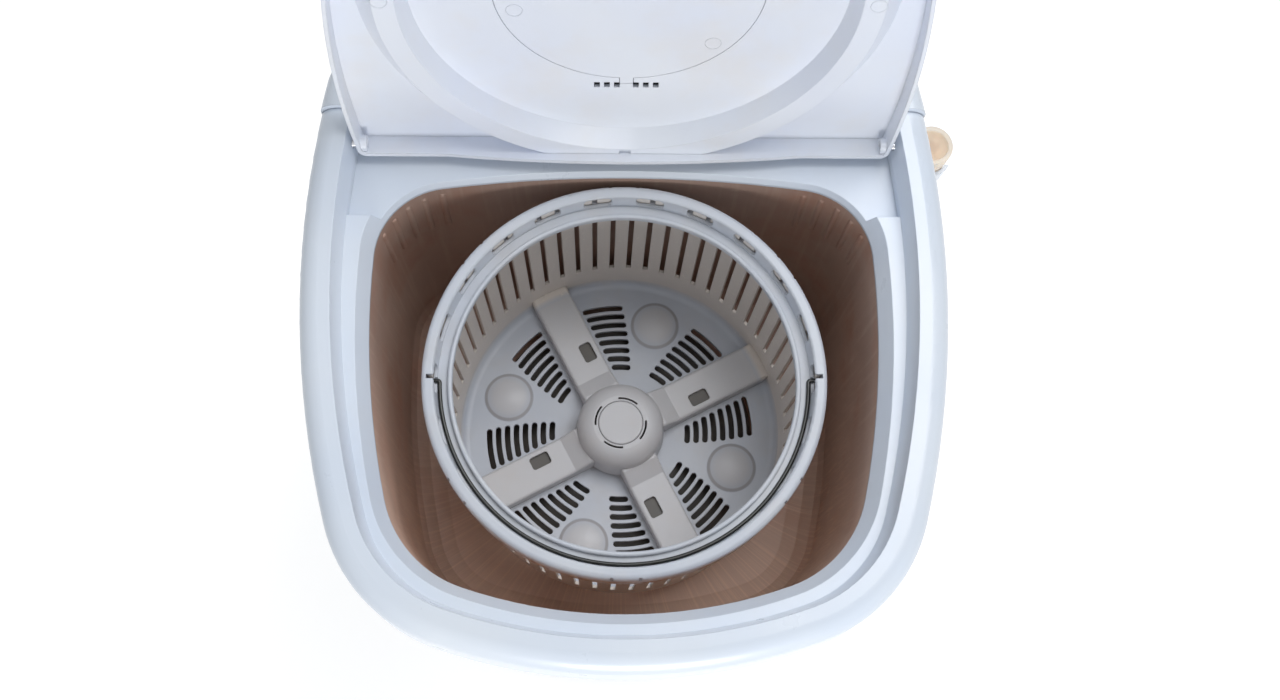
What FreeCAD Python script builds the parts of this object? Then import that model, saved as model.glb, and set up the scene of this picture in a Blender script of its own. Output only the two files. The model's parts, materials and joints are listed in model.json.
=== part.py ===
"""A mini washing machine: a tapered cabinet with a bowed front, a tub with a lift-out spin basket,
a belt drive below it and a lid that stands open.

Millimetres, +Z up. The origin is on the floor under the basket's axis, and the front faces -Y.
"""
import FreeCAD, Part
import math
import os
from types import SimpleNamespace

import Sketcher

SIZES = [
    # The body's plan at the top frame, as bows and corners that run into each other.
    ("body_half_width", 196.5, "half width of the top frame where it is widest"),
    ("widest_back", 60, "how far behind the basket's axis the body is widest"),
    ("side_bow_radius", 600, "radius of each bowed side"),
    ("front_corner_radius", 100, "radius of the front corners"),
    ("front_bow_radius", 345, "radius of the bowed front"),
    ("front_reach", 183, "basket axis to the front"),
    ("rear_reach", 200, "basket axis to the flat rear"),
    ("rear_corner_radius", 25, "radius of the rear corners"),
    ("rim_height", 520, "floor to the top of the rim"),
    # The same plan at floor level: the cabinet narrows to it.
    ("base_half_width", 162, "half width at the floor"),
    ("base_front_reach", 143, "basket axis to the front at the floor"),
    ("base_side_bow_radius", 560, "radius of the sides at the floor"),
    ("base_front_corner_radius", 85, "radius of the front corners at the floor"),
    ("base_front_bow_radius", 290, "radius of the front at the floor"),
    # Top frame.
    ("frame_skirt", 46, "height of the top frame's outer skirt"),
    ("frame_wall", 3, "wall of the top frame and the console"),
    ("rim_width", 19.5, "width of the rim's top"),
    ("rim_slope", 4, "run of the rim's inner slope"),
    ("rim_round", 12, "rounding of the rim's outer edge"),
    ("ledge_drop", 20, "rim top to the ledge that the lid rests on"),
    ("deck_drop", 28, "rim top to the lower deck by the hinge"),
    ("deck_front", 98, "basket axis to where the hinge deck begins"),
    ("lip_drop", 32, "rim top to the lower edge of the bevel round the tub"),
    ("lip_thickness", 2.5, "edge below the bevel"),
    ("bevel_width", 7, "run of the bevel round the tub"),
    ("flange_seat", 17, "width of the seat for the tub's flange"),
    ("wall_slot", 5.5, "slot that takes the cabinet's upper edge"),
    ("slot_depth", 26, "how far the cabinet's edge goes up into the frame"),
    ("seam_back", 160, "basket axis to the seam between frame and console"),
    ("seam_gap", 0.4, "gap of that seam"),
    # Cabinet and base.
    ("rim_overhang", 5, "how far the frame stands out past the cabinet"),
    ("cabinet_wall", 3, "wall of the cabinet"),
    ("foot_height", 14, "height of the feet"),
    ("foot_radius", 17, "radius of a foot"),
    ("foot_peg_radius", 4, "peg that holds a foot in the base"),
    ("foot_half_spread", 118, "feet to the middle, sideways"),
    ("foot_front", 92, "basket axis to the front feet"),
    ("foot_back", 165, "basket axis to the rear feet"),
    ("base_top", 40, "floor to the seat of the cabinet on the base"),
    ("base_floor", 4, "floor of the base"),
    ("base_wall", 6, "wall of the base"),
    ("base_lip", 12, "lip of the base inside the cabinet"),
    ("tuck_gap", 0.4, "gap between a tucked wall and its neighbour"),
    # Rear cover.
    ("cover_half_width", 118, "half width of the rear cover"),
    ("cover_low", 66, "floor to the rear cover's lower edge"),
    ("cover_height", 226, "height of the rear cover"),
    ("cover_thickness", 2.5, "thickness of the rear cover"),
    ("cover_overlap", 12, "rear cover's border on the cabinet"),
    ("vent_width", 46, "length of a vent slot"),
    ("vent_height", 4, "height of a vent slot"),
    ("vent_pitch", 11, "step between vent slots"),
    ("vent_rows", 8, "vent slots in a column"),
    # Tub plan at its mouth.
    ("tub_half_width", 157, "half width of the tub's mouth"),
    ("tub_widest_back", 40, "how far behind the axis the mouth is widest"),
    ("tub_side_bow_radius", 540, "radius of the mouth's sides"),
    ("tub_front_corner_radius", 72, "radius of the mouth's front corners"),
    ("tub_front_bow_radius", 300, "radius of the mouth's front"),
    ("tub_front_reach", 146, "basket axis to the mouth's front"),
    ("tub_rear_reach", 128.5, "basket axis to the mouth's rear"),
    ("tub_rear_corner_radius", 48, "radius of the mouth's rear corners"),
    ("tub_rear_bow_radius", 835, "radius of the mouth's rear"),
    ("tub_floor_drop", 230, "rim top to the tub's floor"),
    ("tub_wall", 3, "wall of the tub"),
    ("tub_floor", 4, "thickness of the tub's floor"),
    ("tub_draft", 2.5, "draft of the tub's walls in degrees"),
    ("tub_round", 20, "rounding between the tub's wall and floor"),
    ("tub_flange", 3, "thickness of the tub's flange"),
    ("flange_width", 14, "width of the tub's flange"),
    ("plateau_radius", 66, "raised middle of the tub's floor"),
    ("plateau_rise", 8, "height of that raised middle"),
    ("finger_radius", 2.4, "radius of a moulded finger in the tub's rear corners"),
    ("finger_sink", 1.2, "how deep a finger's middle line lies in the wall"),
    ("finger_length", 46, "length of a moulded finger"),
    ("finger_drop", 10, "tub mouth to the fingers"),
    # Spin basket.
    ("ring_drop", 38, "rim top to the top of the basket's ring"),
    ("ring_radius", 125, "outer radius of the basket's ring"),
    ("ring_skirt", 28, "height of the ring's outer skirt"),
    ("ring_wall", 3, "wall of the ring's skirt"),
    ("band_width", 7.7, "width of the ring's top band"),
    ("face_lean", 1.5, "how far the channel's outer face leans in"),
    ("channel_depth", 12.5, "depth of the ring's channel"),
    ("channel_width", 6.05, "width of the ring's channel"),
    ("channel_floor", 1.6, "floor of the ring's channel"),
    ("roll_width", 3, "width of the rolled inner lip"),
    ("roll_rise", 2.6, "height of the rolled lip above the channel"),
    ("window_count", 22, "windows round the ring"),
    ("window_length", 18, "length of a ring window"),
    ("window_height", 9.5, "height of a ring window"),
    ("window_corner", 3.2, "radius of a ring window's corners"),
    ("basket_depth", 158, "ring top to the basket's floor"),
    ("basket_wall", 2.3, "wall of the basket"),
    ("basket_draft", 2.8, "draft of the basket's wall in degrees"),
    ("basket_floor", 3, "floor of the basket"),
    ("basket_round", 6, "rounding between the basket's wall and floor"),
    ("basket_fit", 0.5, "gap between the basket's wall and its ring"),
    ("wall_slots", 60, "slots round the basket's wall"),
    ("wall_slot_width", 3.4, "width of a wall slot"),
    ("wall_slot_low", 128, "ring top to the lower end of the wall slots"),
    ("arm_angle", 27, "turn of the first arm from the X axis, in degrees"),
    ("arm_width", 27, "width of an arm on the basket's floor"),
    ("arm_rise", 12, "height of an arm above the floor"),
    ("arm_round", 2, "rounding of an arm's upper edges"),
    ("arm_ramp_out", 41, "basket axis to where an arm starts to climb to the hub"),
    ("arm_ramp_rise", 6, "climb of an arm to the hub"),
    ("arm_wall", 2.5, "wall of an arm"),
    ("arm_window_length", 14, "window in an arm, along it"),
    ("arm_window_width", 9, "window in an arm, across it"),
    ("arm_window_out", 60, "basket axis to an arm's window"),
    ("arm_window_side", 5, "window's offset from the arm's middle line"),
    ("bump_radius", 17.6, "radius of a raised bump on the floor"),
    ("bump_rise", 4.5, "height of a bump"),
    ("bump_out", 82.7, "basket axis to a bump"),
    ("floor_slots", 8, "arc slots in a group"),
    ("floor_slot_width", 3.9, "width of an arc slot"),
    ("floor_slot_first", 48, "radius of the innermost arc slot"),
    ("floor_slot_pitch", 6.3, "step between arc slots"),
    ("floor_slot_margin", 5, "arm edge to the near end of an arc slot"),
    ("floor_slot_inner_end", 34, "far end of the innermost slot from the arm, in degrees"),
    ("floor_slot_outer_end", 27.3, "far end of the outermost slot from the arm, in degrees"),
    ("hub_rise", 31, "basket floor to the hub's top"),
    ("hub_radius", 30, "radius of the hub at its foot"),
    ("hub_top_radius", 19, "radius of the hub's flat top"),
    ("hub_neck", 19.5, "basket floor to the hub's widest round"),
    ("hub_round", 13, "rounding of the hub's shoulder"),
    ("hub_wall", 3, "wall of the hub"),
    ("cap_radius", 15.3, "radius of the hub's cap"),
    ("cap_rise", 0.6, "cap above the hub's top"),
    ("cap_depth", 2, "depth of the cap's seat"),
    ("slit_width", 1.2, "width of the slits round the cap"),
    # Bail.
    ("wire_radius", 1.25, "radius of the bail's wire"),
    ("bail_radius", 114.4, "radius of the bail's bow"),
    ("bail_bend", 1.6, "bend at each end of the bail"),
    ("bail_fit", 0.06, "running gap of the bail in its notch"),
    ("bail_end", 7.2, "length of the bail's end past its bow"),
    # Pulsator and drive.
    ("pulsator_radius", 96, "radius of the pulsator"),
    ("pulsator_gap", 7, "tub floor to the pulsator's edge"),
    ("pulsator_shell", 3.5, "thickness of the pulsator"),
    ("pulsator_hub_radius", 18.5, "radius of the pulsator's hub"),
    ("pulsator_hub_rise", 16, "basket floor to the top of the pulsator's hub"),
    ("vane_gap", 1, "gap on each side of a vane inside an arm"),
    ("vane_reach", 88, "basket axis to a vane's outer end"),
    ("seat_gap", 0.3, "gap between a vane and the arm that rests on it"),
    ("shaft_radius", 6, "radius of the drive shaft"),
    ("shaft_fit", 0.05, "running gap of a shaft in its bore"),
    ("bush_radius", 10, "outer radius of a bush"),
    ("bush_length", 18, "length of a bush"),
    ("housing_radius", 22, "outer radius of the bearing housing's sleeve"),
    ("housing_flange_radius", 58, "radius of the housing's flange"),
    ("housing_flange", 6, "thickness of the housing's flange"),
    ("housing_length", 64, "length of the sleeve below the tub"),
    ("housing_tower", 6, "sleeve above the raised middle of the floor"),
    ("gasket_thickness", 1, "gasket between housing and tub"),
    ("seal_radius", 14, "outer radius of the shaft seal"),
    ("seal_height", 8, "height of the shaft seal"),
    ("pulley_radius", 75, "outer radius of the driven pulley"),
    ("motor_pulley_radius", 20, "outer radius of the motor's pulley"),
    ("groove_depth", 6, "depth of a pulley's groove"),
    ("pulley_width", 14, "width of a pulley's edge"),
    ("flange_edge", 2.4, "thickness of a pulley's flanges"),
    ("pulley_web", 5, "thickness of the driven pulley's web"),
    ("pulley_hub_radius", 17, "radius of the driven pulley's hub"),
    ("pulley_hub_length", 22, "length of the driven pulley's hub"),
    ("pulley_drop", 8, "housing to the driven pulley's hub"),
    ("belt_thickness", 4, "thickness of the belt"),
    ("belt_gap", 0.4, "gap between the belt and a groove"),
    ("nut_radius", 10, "radius of the pulley's nut"),
    ("nut_height", 7, "height of the pulley's nut"),
    ("motor_left", 78, "basket axis to the motor, leftwards"),
    ("motor_back", 82, "basket axis to the motor, backwards"),
    ("motor_radius", 56, "radius of the motor"),
    ("motor_height", 96, "height of the motor"),
    ("motor_shaft_radius", 5, "radius of the motor's shaft"),
    ("bracket_half_width", 66, "half size of the motor's bracket"),
    ("bracket_thickness", 3, "thickness of the motor's bracket"),
    ("bolt_half_spread", 56, "motor bolts to the motor's axis, each way"),
    ("post_height", 34, "posts for the motor on the base's floor"),
    ("post_radius", 9, "radius of a post"),
    ("grommet_height", 8, "height of a rubber grommet"),
    ("grommet_radius", 10, "radius of a rubber grommet"),
    ("bolt_radius", 2.5, "radius of the motor's bolts"),
    ("bolt_head_radius", 5, "radius of a bolt's head"),
    ("bolt_head_height", 4, "height of a bolt's head"),
    ("bolt_gap", 0.3, "gap round a bolt"),
    ("bolt_depth", 20, "bolt inside its post"),
    ("capacitor_radius", 18, "radius of the capacitor"),
    ("capacitor_height", 72, "height of the capacitor"),
    ("capacitor_right", 84, "basket axis to the capacitor, rightwards"),
    ("capacitor_front", 66, "basket axis to the capacitor, forwards"),
    ("clip_wall", 2, "wall of the capacitor's cup"),
    ("clip_height", 26, "height of the capacitor's cup"),
    # Lid.
    ("lid_inset", 24.8, "rim's outer edge to the lid's edge"),
    ("lid_rear", 149, "basket axis to the lid's rear edge"),
    ("lid_corner_radius", 6, "radius of the lid's rear corners"),
    ("lid_seat_gap", 0.5, "gap between the lid and its ledge"),
    ("lid_height", 16.5, "height of the lid's edge"),
    ("lid_wall", 2.5, "wall of the lid"),
    ("lid_round", 5, "rounding of the lid's upper edge"),
    ("lid_middle_back", 12, "basket axis to the middle of the lid's rounds"),
    ("dish_floor_radius", 125, "radius of the dish below the lid, at its floor"),
    ("dish_edge_radius", 130, "radius of the dish's edge"),
    ("moat_radius", 143, "outer radius of the moat round the dish, at its bottom"),
    ("moat_mouth_radius", 154, "outer radius of that moat at the lid's underside"),
    ("moat_depth", 13, "depth of that moat"),
    ("moat_inner_wall", 1.75, "slack between the moat's inner faces, sideways"),
    ("moat_outer_wall", 1.25, "slack between the moat's outer faces, sideways"),
    ("apron_drop", 5.5, "bow of the lid's rear edge, downwards"),
    ("apron_half_width", 110, "half width of that bow"),
    ("catch_half_width", 3.5, "half width of the catch in the rear edge"),
    ("catch_length", 3.5, "length of that catch"),
    ("catch_depth", 1.5, "depth of that catch"),
    ("drain_dot_radius", 0.8, "radius of a drip hole in the lid"),
    ("drain_dot_spread", 83, "middle of the lid to a drip hole"),
    ("drain_dot_back", 139, "basket axis to the drip holes"),
    ("lid_slot_width", 3.4, "width of a square hole by the disc"),
    ("lid_slot_length", 4.6, "length of such a hole"),
    ("lid_slot_first", 5.7, "middle of the lid to the nearest such hole"),
    ("lid_slot_pitch", 6, "distance between such holes"),
    ("lid_slot_back", 84, "middle of the lid's rounds to these holes"),
    ("tongue_half_width", 4, "half width of the disc's tongue"),
    ("tongue_length", 5, "length of that tongue"),
    ("insert_radius", 77.5, "radius of the disc set in the lid"),
    ("insert_flange", 12.5, "rim of that disc on the lid"),
    ("insert_thickness", 1.5, "thickness of that rim"),
    ("insert_fit", 0.3, "gap round that disc"),
    ("hinge_back", 143, "basket axis to the hinge"),
    ("hinge_drop", 14, "rim top to the hinge"),
    ("hinge_pin_radius", 3, "radius of a hinge pin"),
    ("hinge_pin_length", 18, "length of a hinge pin"),
    ("hinge_fit", 0.06, "running gap of the lid on its pins"),
    ("lug_radius", 4.8, "radius of a hinge lug in the lid"),
    ("lug_length", 6, "length of a hinge lug"),
    ("lid_open", 105, "turn of the open lid in degrees"),
    # Console and controls.
    ("console_rise", 4, "console above the rim"),
    ("console_round", 10, "rounding of the console's top"),
    ("panel_half_width", 118, "half width of the control panel"),
    ("panel_depth", 29, "control panel, front to back"),
    ("panel_thickness", 1.6, "thickness of the control panel"),
    ("panel_gap", 0.3, "gap round the control panel"),
    ("knob_spread", 62, "middle of the panel to each knob"),
    ("knob_radius", 13.5, "radius of a knob"),
    ("knob_height", 15, "height of a knob"),
    ("knob_gap", 0.8, "gap below a knob"),
    ("knob_flats", 3.6, "half width of the grip across a knob"),
    ("knob_skirt", 4, "height of a knob's round foot"),
    ("spindle_radius", 3, "radius of a knob's spindle"),
    ("spindle_depth", 12, "spindle inside its switch"),
    ("timer_width", 52, "width of the wash timer"),
    ("switch_width", 36, "width of the selector switch"),
    ("switch_depth", 24, "front to back size of timer and switch"),
    ("timer_height", 32, "height of timer and switch"),
    # Drain.
    ("sump_right", 92, "basket axis to the drain in the tub's floor, rightwards"),
    ("sump_back", 66, "basket axis to that drain, backwards"),
    ("spigot_radius", 10, "outer radius of a drain spigot"),
    ("spigot_wall", 2.2, "wall of a drain spigot"),
    ("spigot_length", 26, "length of the tub's spigot"),
    ("hose_wall", 2.6, "wall of the inner drain hose"),
    ("hose_fit", 0.3, "gap of a hose on its spigot"),
    ("hose_bend", 34, "bend of the inner drain hose"),
    ("hose_end_gap", 2, "end of a hose to what its spigot stands on"),
    ("outlet_back", 158, "basket axis to the drain outlet, backwards"),
    ("outlet_height", 92, "floor to the drain outlet"),
    ("gland_radius", 14, "radius of the grommet round the outlet"),
    ("gland_collar", 3.5, "collar of that grommet on each side of the wall"),
    ("gland_half_length", 7, "half length of that grommet"),
    ("rib_radius", 13.3, "outer radius of the ribbed drain hose"),
    ("rib_valley", 11.9, "radius between the hose's ribs"),
    ("rib_pitch", 5, "step between the hose's ribs"),
    ("drain_top", 472, "floor to the drain hose's open end"),
    ("hose_stand_off", 5, "cabinet to the drain hose"),
    ("hook_height", 16, "height of the hose clip"),
    ("hook_wall", 2.4, "wall of the hose clip"),
    ("hook_drop", 14, "hose end to the clip"),
    ("hook_mouth", 15, "mouth of the hose clip"),
    ("hook_peg_radius", 2.5, "peg of the hose clip in the cabinet"),
    # Small fasteners.
    ("screw_radius", 1.6, "radius of a small screw"),
    ("screw_head_radius", 3.4, "radius of a small screw's head"),
    ("screw_head_height", 2.2, "height of a small screw's head"),
    ("screw_length", 5, "length of a small screw in its hole"),
    ("long_screw", 8, "length of a console screw"),
    ("cord_gland_radius", 8, "radius of the mains gland"),
    ("cord_bore_radius", 3.6, "bore of the mains gland"),
]

doc = FreeCAD.newDocument("MiniWashingMachine")
sheet = doc.addObject("Spreadsheet::Sheet", "Sizes")
PIECES = {}


class Dim:
    """A size: its value now, and the expression over the sheet that gives it."""

    def __init__(self, text, value):
        self.text = text
        self.value = value

    def __add__(self, other):
        other = dim(other)
        return Dim(f"({self.text} + {other.text})", self.value + other.value)

    def __sub__(self, other):
        other = dim(other)
        return Dim(f"({self.text} - {other.text})", self.value - other.value)

    def __mul__(self, other):
        other = dim(other)
        return Dim(f"({self.text} * {other.text})", self.value * other.value)

    def __truediv__(self, other):
        other = dim(other)
        return Dim(f"({self.text} / {other.text})", self.value / other.value)

    def __neg__(self):
        return Dim(f"(0 - {self.text})", -self.value)

    def __radd__(self, other):
        return dim(other) + self

    def __rsub__(self, other):
        return dim(other) - self

    def __rmul__(self, other):
        return dim(other) * self

    def __float__(self):
        return float(self.value)


def dim(value):
    """A plain number as a size."""
    return value if isinstance(value, Dim) else Dim(f"{value:.10g}", float(value))


def tan_of(angle):
    return Dim(f"tan({angle.text})", math.tan(math.radians(angle.value)))


def sin_of(angle):
    return Dim(f"sin({angle.text})", math.sin(math.radians(angle.value)))


def cos_of(angle):
    return Dim(f"cos({angle.text})", math.cos(math.radians(angle.value)))


def fill_sheet():
    """Write every driving size into the sheet, and hand them back by name."""
    sizes = {}
    for row, (alias, value, note) in enumerate(SIZES, start=1):
        sheet.set(f"A{row}", note)
        sheet.set(f"B{row}", f"{value:g}")
        sheet.setAlias(f"B{row}", alias)
        sizes[alias] = Dim(f"Sizes.{alias}", float(value))
    doc.recompute()
    return SimpleNamespace(**sizes)


S = fill_sheet()
ZERO = dim(0)
FULL_TURN = 360


def vector(x, y, z=0):
    return FreeCAD.Vector(float(x), float(y), float(z))


# Building blocks: bodies, sketches and features bound to the sheet.


def new_body(name):
    body = doc.addObject("PartDesign::Body", name)
    body.Label = name
    return body


def new_sketch(body, plane="XY_Plane", level=ZERO):
    """A sketch on one of the body's own planes, moved along the plane's normal."""
    sketch = body.newObject("Sketcher::SketchObject", body.Name + "_sketch")
    support = next(f for f in body.Origin.OriginFeatures if f.Role == plane)
    sketch.AttachmentSupport = (support, [""])
    sketch.MapMode = "FlatFace"
    sketch.setExpression("AttachmentOffset.Base.z", dim(level).text)
    return sketch


def bind(sketch, kind, *places, size):
    """Add a driving constraint whose datum is a size."""
    size = dim(size)
    index = sketch.addConstraint(Sketcher.Constraint(kind, *places, size.value))
    sketch.setExpression(f"Constraints[{index}]", size.text)


def pin_point(sketch, geometry, position, x, y):
    """Hold a point of a sketch at x, y."""
    bind(sketch, "DistanceX", -1, 1, geometry, position, size=x)
    bind(sketch, "DistanceY", -1, 1, geometry, position, size=y)


def circle(sketch, x, y, radius):
    geometry = sketch.addGeometry(Part.Circle(vector(x, y), vector(0, 0, 1), float(radius)))
    pin_point(sketch, geometry, 3, x, y)
    bind(sketch, "Radius", geometry, size=radius)


def arc_between(start, end, radius):
    """A circular arc between two points; a positive radius turns left on the way."""
    chord = end - start
    left = FreeCAD.Vector(-chord.y, chord.x, 0).normalize()
    reach = math.sqrt(max(radius * radius - chord.Length ** 2 / 4, 0))
    middle = (start + end) * 0.5
    centre = middle + left * (reach if radius > 0 else -reach)
    first, last = (start, end) if radius > 0 else (end, start)
    low = math.atan2(first.y - centre.y, first.x - centre.x)
    high = math.atan2(last.y - centre.y, last.x - centre.x)
    if high < low:
        high += 2 * math.pi
    return Part.ArcOfCircle(Part.Circle(centre, vector(0, 0, 1), abs(radius)), low, high)


def outline(sketch, corners):
    """A closed outline through corners (x, y); (x, y, radius) comes to its corner along an arc."""
    ends = []
    for index, corner in enumerate(corners):
        before = corners[index - 1]
        start, end = vector(*before[:2]), vector(*corner[:2])
        if len(corner) > 2:
            radius = dim(corner[2])
            geometry = sketch.addGeometry(arc_between(start, end, radius.value))
            first, last = (1, 2) if radius.value > 0 else (2, 1)
            bind(sketch, "Radius", geometry, size=radius if radius.value > 0 else -radius)
        else:
            geometry = sketch.addGeometry(Part.LineSegment(start, end))
            first, last = 1, 2
        ends.append((geometry, first, last))
    for index, (geometry, first, last) in enumerate(ends):
        before, _, before_last = ends[index - 1]
        sketch.addConstraint(Sketcher.Constraint("Coincident", before, before_last, geometry, first))
        pin_point(sketch, geometry, last, *corners[index][:2])


def rectangle(sketch, low_x, low_y, high_x, high_y):
    outline(sketch, [(low_x, low_y), (high_x, low_y), (high_x, high_y), (low_x, high_y)])


def add_feature(kind, sketch, **values):
    """A feature made from a sketch; sizes among the values are bound to the sheet."""
    body = sketch.getParentGeoFeatureGroup()
    feature = body.newObject("PartDesign::" + kind, body.Name + "_" + kind.lower())
    feature.Profile = sketch
    for name, value in values.items():
        if isinstance(value, Dim):
            feature.setExpression(name, value.text)
        else:
            setattr(feature, name, value)
    body.Tip = feature
    return feature


def pad(sketch, length, **values):
    return add_feature("Pad", sketch, Length=dim(length), **values)


def pocket_up(sketch, length, **values):
    return add_feature("Pocket", sketch, Length=dim(length), Reversed=True, **values)


def pocket_down(sketch, length, **values):
    return add_feature("Pocket", sketch, Length=dim(length), **values)


def round_edges(feature, radius, wanted):
    """Round the edges of a feature that pass the test."""
    doc.recompute()
    names = [f"Edge{i}" for i, edge in enumerate(feature.Shape.Edges, start=1) if wanted(edge)]
    body = feature.getParentGeoFeatureGroup()
    fillet = body.newObject("PartDesign::Fillet", body.Name + "_round")
    fillet.Base = (feature, names)
    fillet.setExpression("Radius", radius.text)
    body.Tip = fillet
    return fillet


def at_level(level):
    """A test for edges that lie wholly at one height."""
    def wanted(edge):
        box = edge.BoundBox
        return abs(box.ZMin - level.value) < 1e-4 and abs(box.ZMax - level.value) < 1e-4
    return wanted


def lathe(name, corners):
    """A body turned about its own Z axis from an outline of (radius, height) corners."""
    body = new_body(name)
    sketch = new_sketch(body, "XZ_Plane")
    outline(sketch, corners)
    add_feature("Revolution", sketch, ReferenceAxis=(sketch, ["V_Axis"]), Angle=FULL_TURN)
    return body


def move(item, x=ZERO, y=ZERO, z=ZERO):
    for axis, value in zip("xyz", (x, y, z)):
        item.setExpression("Placement.Base." + axis, dim(value).text)
    return item


def cylinder(name, radius, height, x=ZERO, y=ZERO, z=ZERO, along="z"):
    """A plain cylinder that starts at x, y, z and runs along an axis."""
    item = doc.addObject("Part::Cylinder", name)
    item.setExpression("Radius", dim(radius).text)
    item.setExpression("Height", dim(height).text)
    turns = {"x": (vector(0, 1, 0), 90), "y": (vector(1, 0, 0), -90), "z": (vector(0, 0, 1), 0)}
    item.Placement = FreeCAD.Placement(vector(0, 0), FreeCAD.Rotation(*turns[along]))
    return move(item, x, y, z)


def box(name, low, size):
    """A plain block from its lower corner and its three sizes."""
    item = doc.addObject("Part::Box", name)
    for side, value in zip(("Length", "Width", "Height"), size):
        item.setExpression(side, dim(value).text)
    return move(item, *low)


def fuse(name, *items):
    joined = doc.addObject("Part::MultiFuse", name)
    joined.Shapes = list(items)
    return joined


def cut(name, base, *tools):
    """Take one or more tools away from a base."""
    tool = tools[0] if len(tools) == 1 else fuse(name + "_tools", *tools)
    result = doc.addObject("Part::Cut", name)
    result.Base = base
    result.Tool = tool
    return result


def common(name, first, second):
    result = doc.addObject("Part::Common", name)
    result.Base = first
    result.Tool = second
    return result


def shapes(name, solids):
    """Several solids, worked out from the sheet's values, as one object."""
    item = doc.addObject("Part::Feature", name)
    item.Shape = Part.makeCompound(solids)
    return item


def keep(label, item):
    """Register a finished sub-part under its own label."""
    item.Label = label
    PIECES[label] = item
    return item


# The two families of plan outlines: the body's and the tub's.


def meeting(first, first_reach, second, second_reach, rear):
    """The right-hand point at given distances from two centres, at the rear or the front."""
    span = second - first
    along = (first_reach ** 2 - second_reach ** 2 + span.Length ** 2) / (2 * span.Length)
    across = math.sqrt(first_reach ** 2 - along ** 2)
    unit = FreeCAD.Vector(span).normalize()
    normal = FreeCAD.Vector(-unit.y, unit.x, 0)
    found = [first + unit * along + normal * side for side in (across, -across)]
    pick = max if rear else min
    return pick((p for p in found if p.x > 0), key=lambda p: p.y)


def plan_outline(sketch, plan):
    """Bowed front, round corners, bowed sides and a flat or bowed rear, all running into each other."""
    side_x = plan.half_width - plan.side_bow
    front_y = plan.front_bow - plan.front
    rear_y = plan.rear - plan.rear_bow if plan.rear_bow else None
    side = vector(side_x, plan.widest)
    front = vector(0, front_y)
    corner = meeting(front, plan.front_bow.value - plan.corner.value,
                     side, plan.side_bow.value - plan.corner.value, rear=False)
    if plan.rear_bow:
        rear = vector(0, rear_y)
        back = meeting(rear, plan.rear_bow.value - plan.rear_corner.value,
                       side, plan.side_bow.value - plan.rear_corner.value, rear=True)
        back_angle = math.atan2(back.y - rear.y, back.x - rear.x)
    else:
        level = plan.rear.value - plan.rear_corner.value
        reach = plan.side_bow.value - plan.rear_corner.value
        back = vector(side.x + math.sqrt(reach ** 2 - (level - side.y) ** 2), level)
        back_angle = math.pi / 2
    front_angle = math.atan2(corner.y - front.y, corner.x - front.x)
    low_angle = math.atan2(corner.y - side.y, corner.x - side.x)
    high_angle = math.atan2(back.y - side.y, back.x - side.x)

    def arc(centre, radius, start, end):
        shape = Part.Circle(centre, vector(0, 0, 1), radius.value)
        return sketch.addGeometry(Part.ArcOfCircle(shape, start, end))

    def mirrored(point):
        return FreeCAD.Vector(-point.x, point.y, 0)

    half = math.pi
    front_arc = arc(front, plan.front_bow, -half - front_angle, front_angle)
    right_corner = arc(corner, plan.corner, front_angle, low_angle)
    right_side = arc(side, plan.side_bow, low_angle, high_angle)
    right_rear = arc(back, plan.rear_corner, high_angle, back_angle)
    if plan.rear_bow:
        rear_edge = arc(rear, plan.rear_bow, back_angle, half - back_angle)
    else:
        ends = [FreeCAD.Vector(x, plan.rear.value, 0) for x in (back.x, -back.x)]
        rear_edge = sketch.addGeometry(Part.LineSegment(*ends))
    left_rear = arc(mirrored(back), plan.rear_corner, half - back_angle, half - high_angle)
    left_side = arc(mirrored(side), plan.side_bow, half - high_angle, half - low_angle)
    left_corner = arc(mirrored(corner), plan.corner, half - low_angle, half - front_angle)
    loop = [front_arc, right_corner, right_side, right_rear, rear_edge, left_rear, left_side, left_corner]
    for one, following in zip(loop, loop[1:] + loop[:1]):
        sketch.addConstraint(Sketcher.Constraint("Tangent", one, 2, following, 1))
    for geometry, radius in ((front_arc, plan.front_bow), (right_corner, plan.corner),
                             (left_corner, plan.corner), (right_side, plan.side_bow),
                             (left_side, plan.side_bow), (right_rear, plan.rear_corner),
                             (left_rear, plan.rear_corner)):
        bind(sketch, "Radius", geometry, size=radius)
    pin_point(sketch, front_arc, 3, ZERO, front_y)
    pin_point(sketch, right_side, 3, side_x, plan.widest)
    pin_point(sketch, left_side, 3, -side_x, plan.widest)
    if plan.rear_bow:
        bind(sketch, "Radius", rear_edge, size=plan.rear_bow)
        pin_point(sketch, rear_edge, 3, ZERO, rear_y)
    else:
        sketch.addConstraint(Sketcher.Constraint("Horizontal", rear_edge))
        bind(sketch, "DistanceY", -1, 1, rear_edge, 1, size=plan.rear)


def inset(plan, amount):
    """The same plan, a constant distance further in."""
    amount = dim(amount)
    moved = {name: value - amount if value and name != "widest" else value
             for name, value in vars(plan).items()}
    return SimpleNamespace(**moved)


RIM_PLAN = SimpleNamespace(
    half_width=S.body_half_width, widest=S.widest_back, side_bow=S.side_bow_radius,
    corner=S.front_corner_radius, front_bow=S.front_bow_radius, front=S.front_reach,
    rear=S.rear_reach, rear_corner=S.rear_corner_radius, rear_bow=None)

TUB_PLAN = SimpleNamespace(
    half_width=S.tub_half_width, widest=S.tub_widest_back, side_bow=S.tub_side_bow_radius,
    corner=S.tub_front_corner_radius, front_bow=S.tub_front_bow_radius, front=S.tub_front_reach,
    rear=S.tub_rear_reach, rear_corner=S.tub_rear_corner_radius, rear_bow=S.tub_rear_bow_radius)

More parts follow.
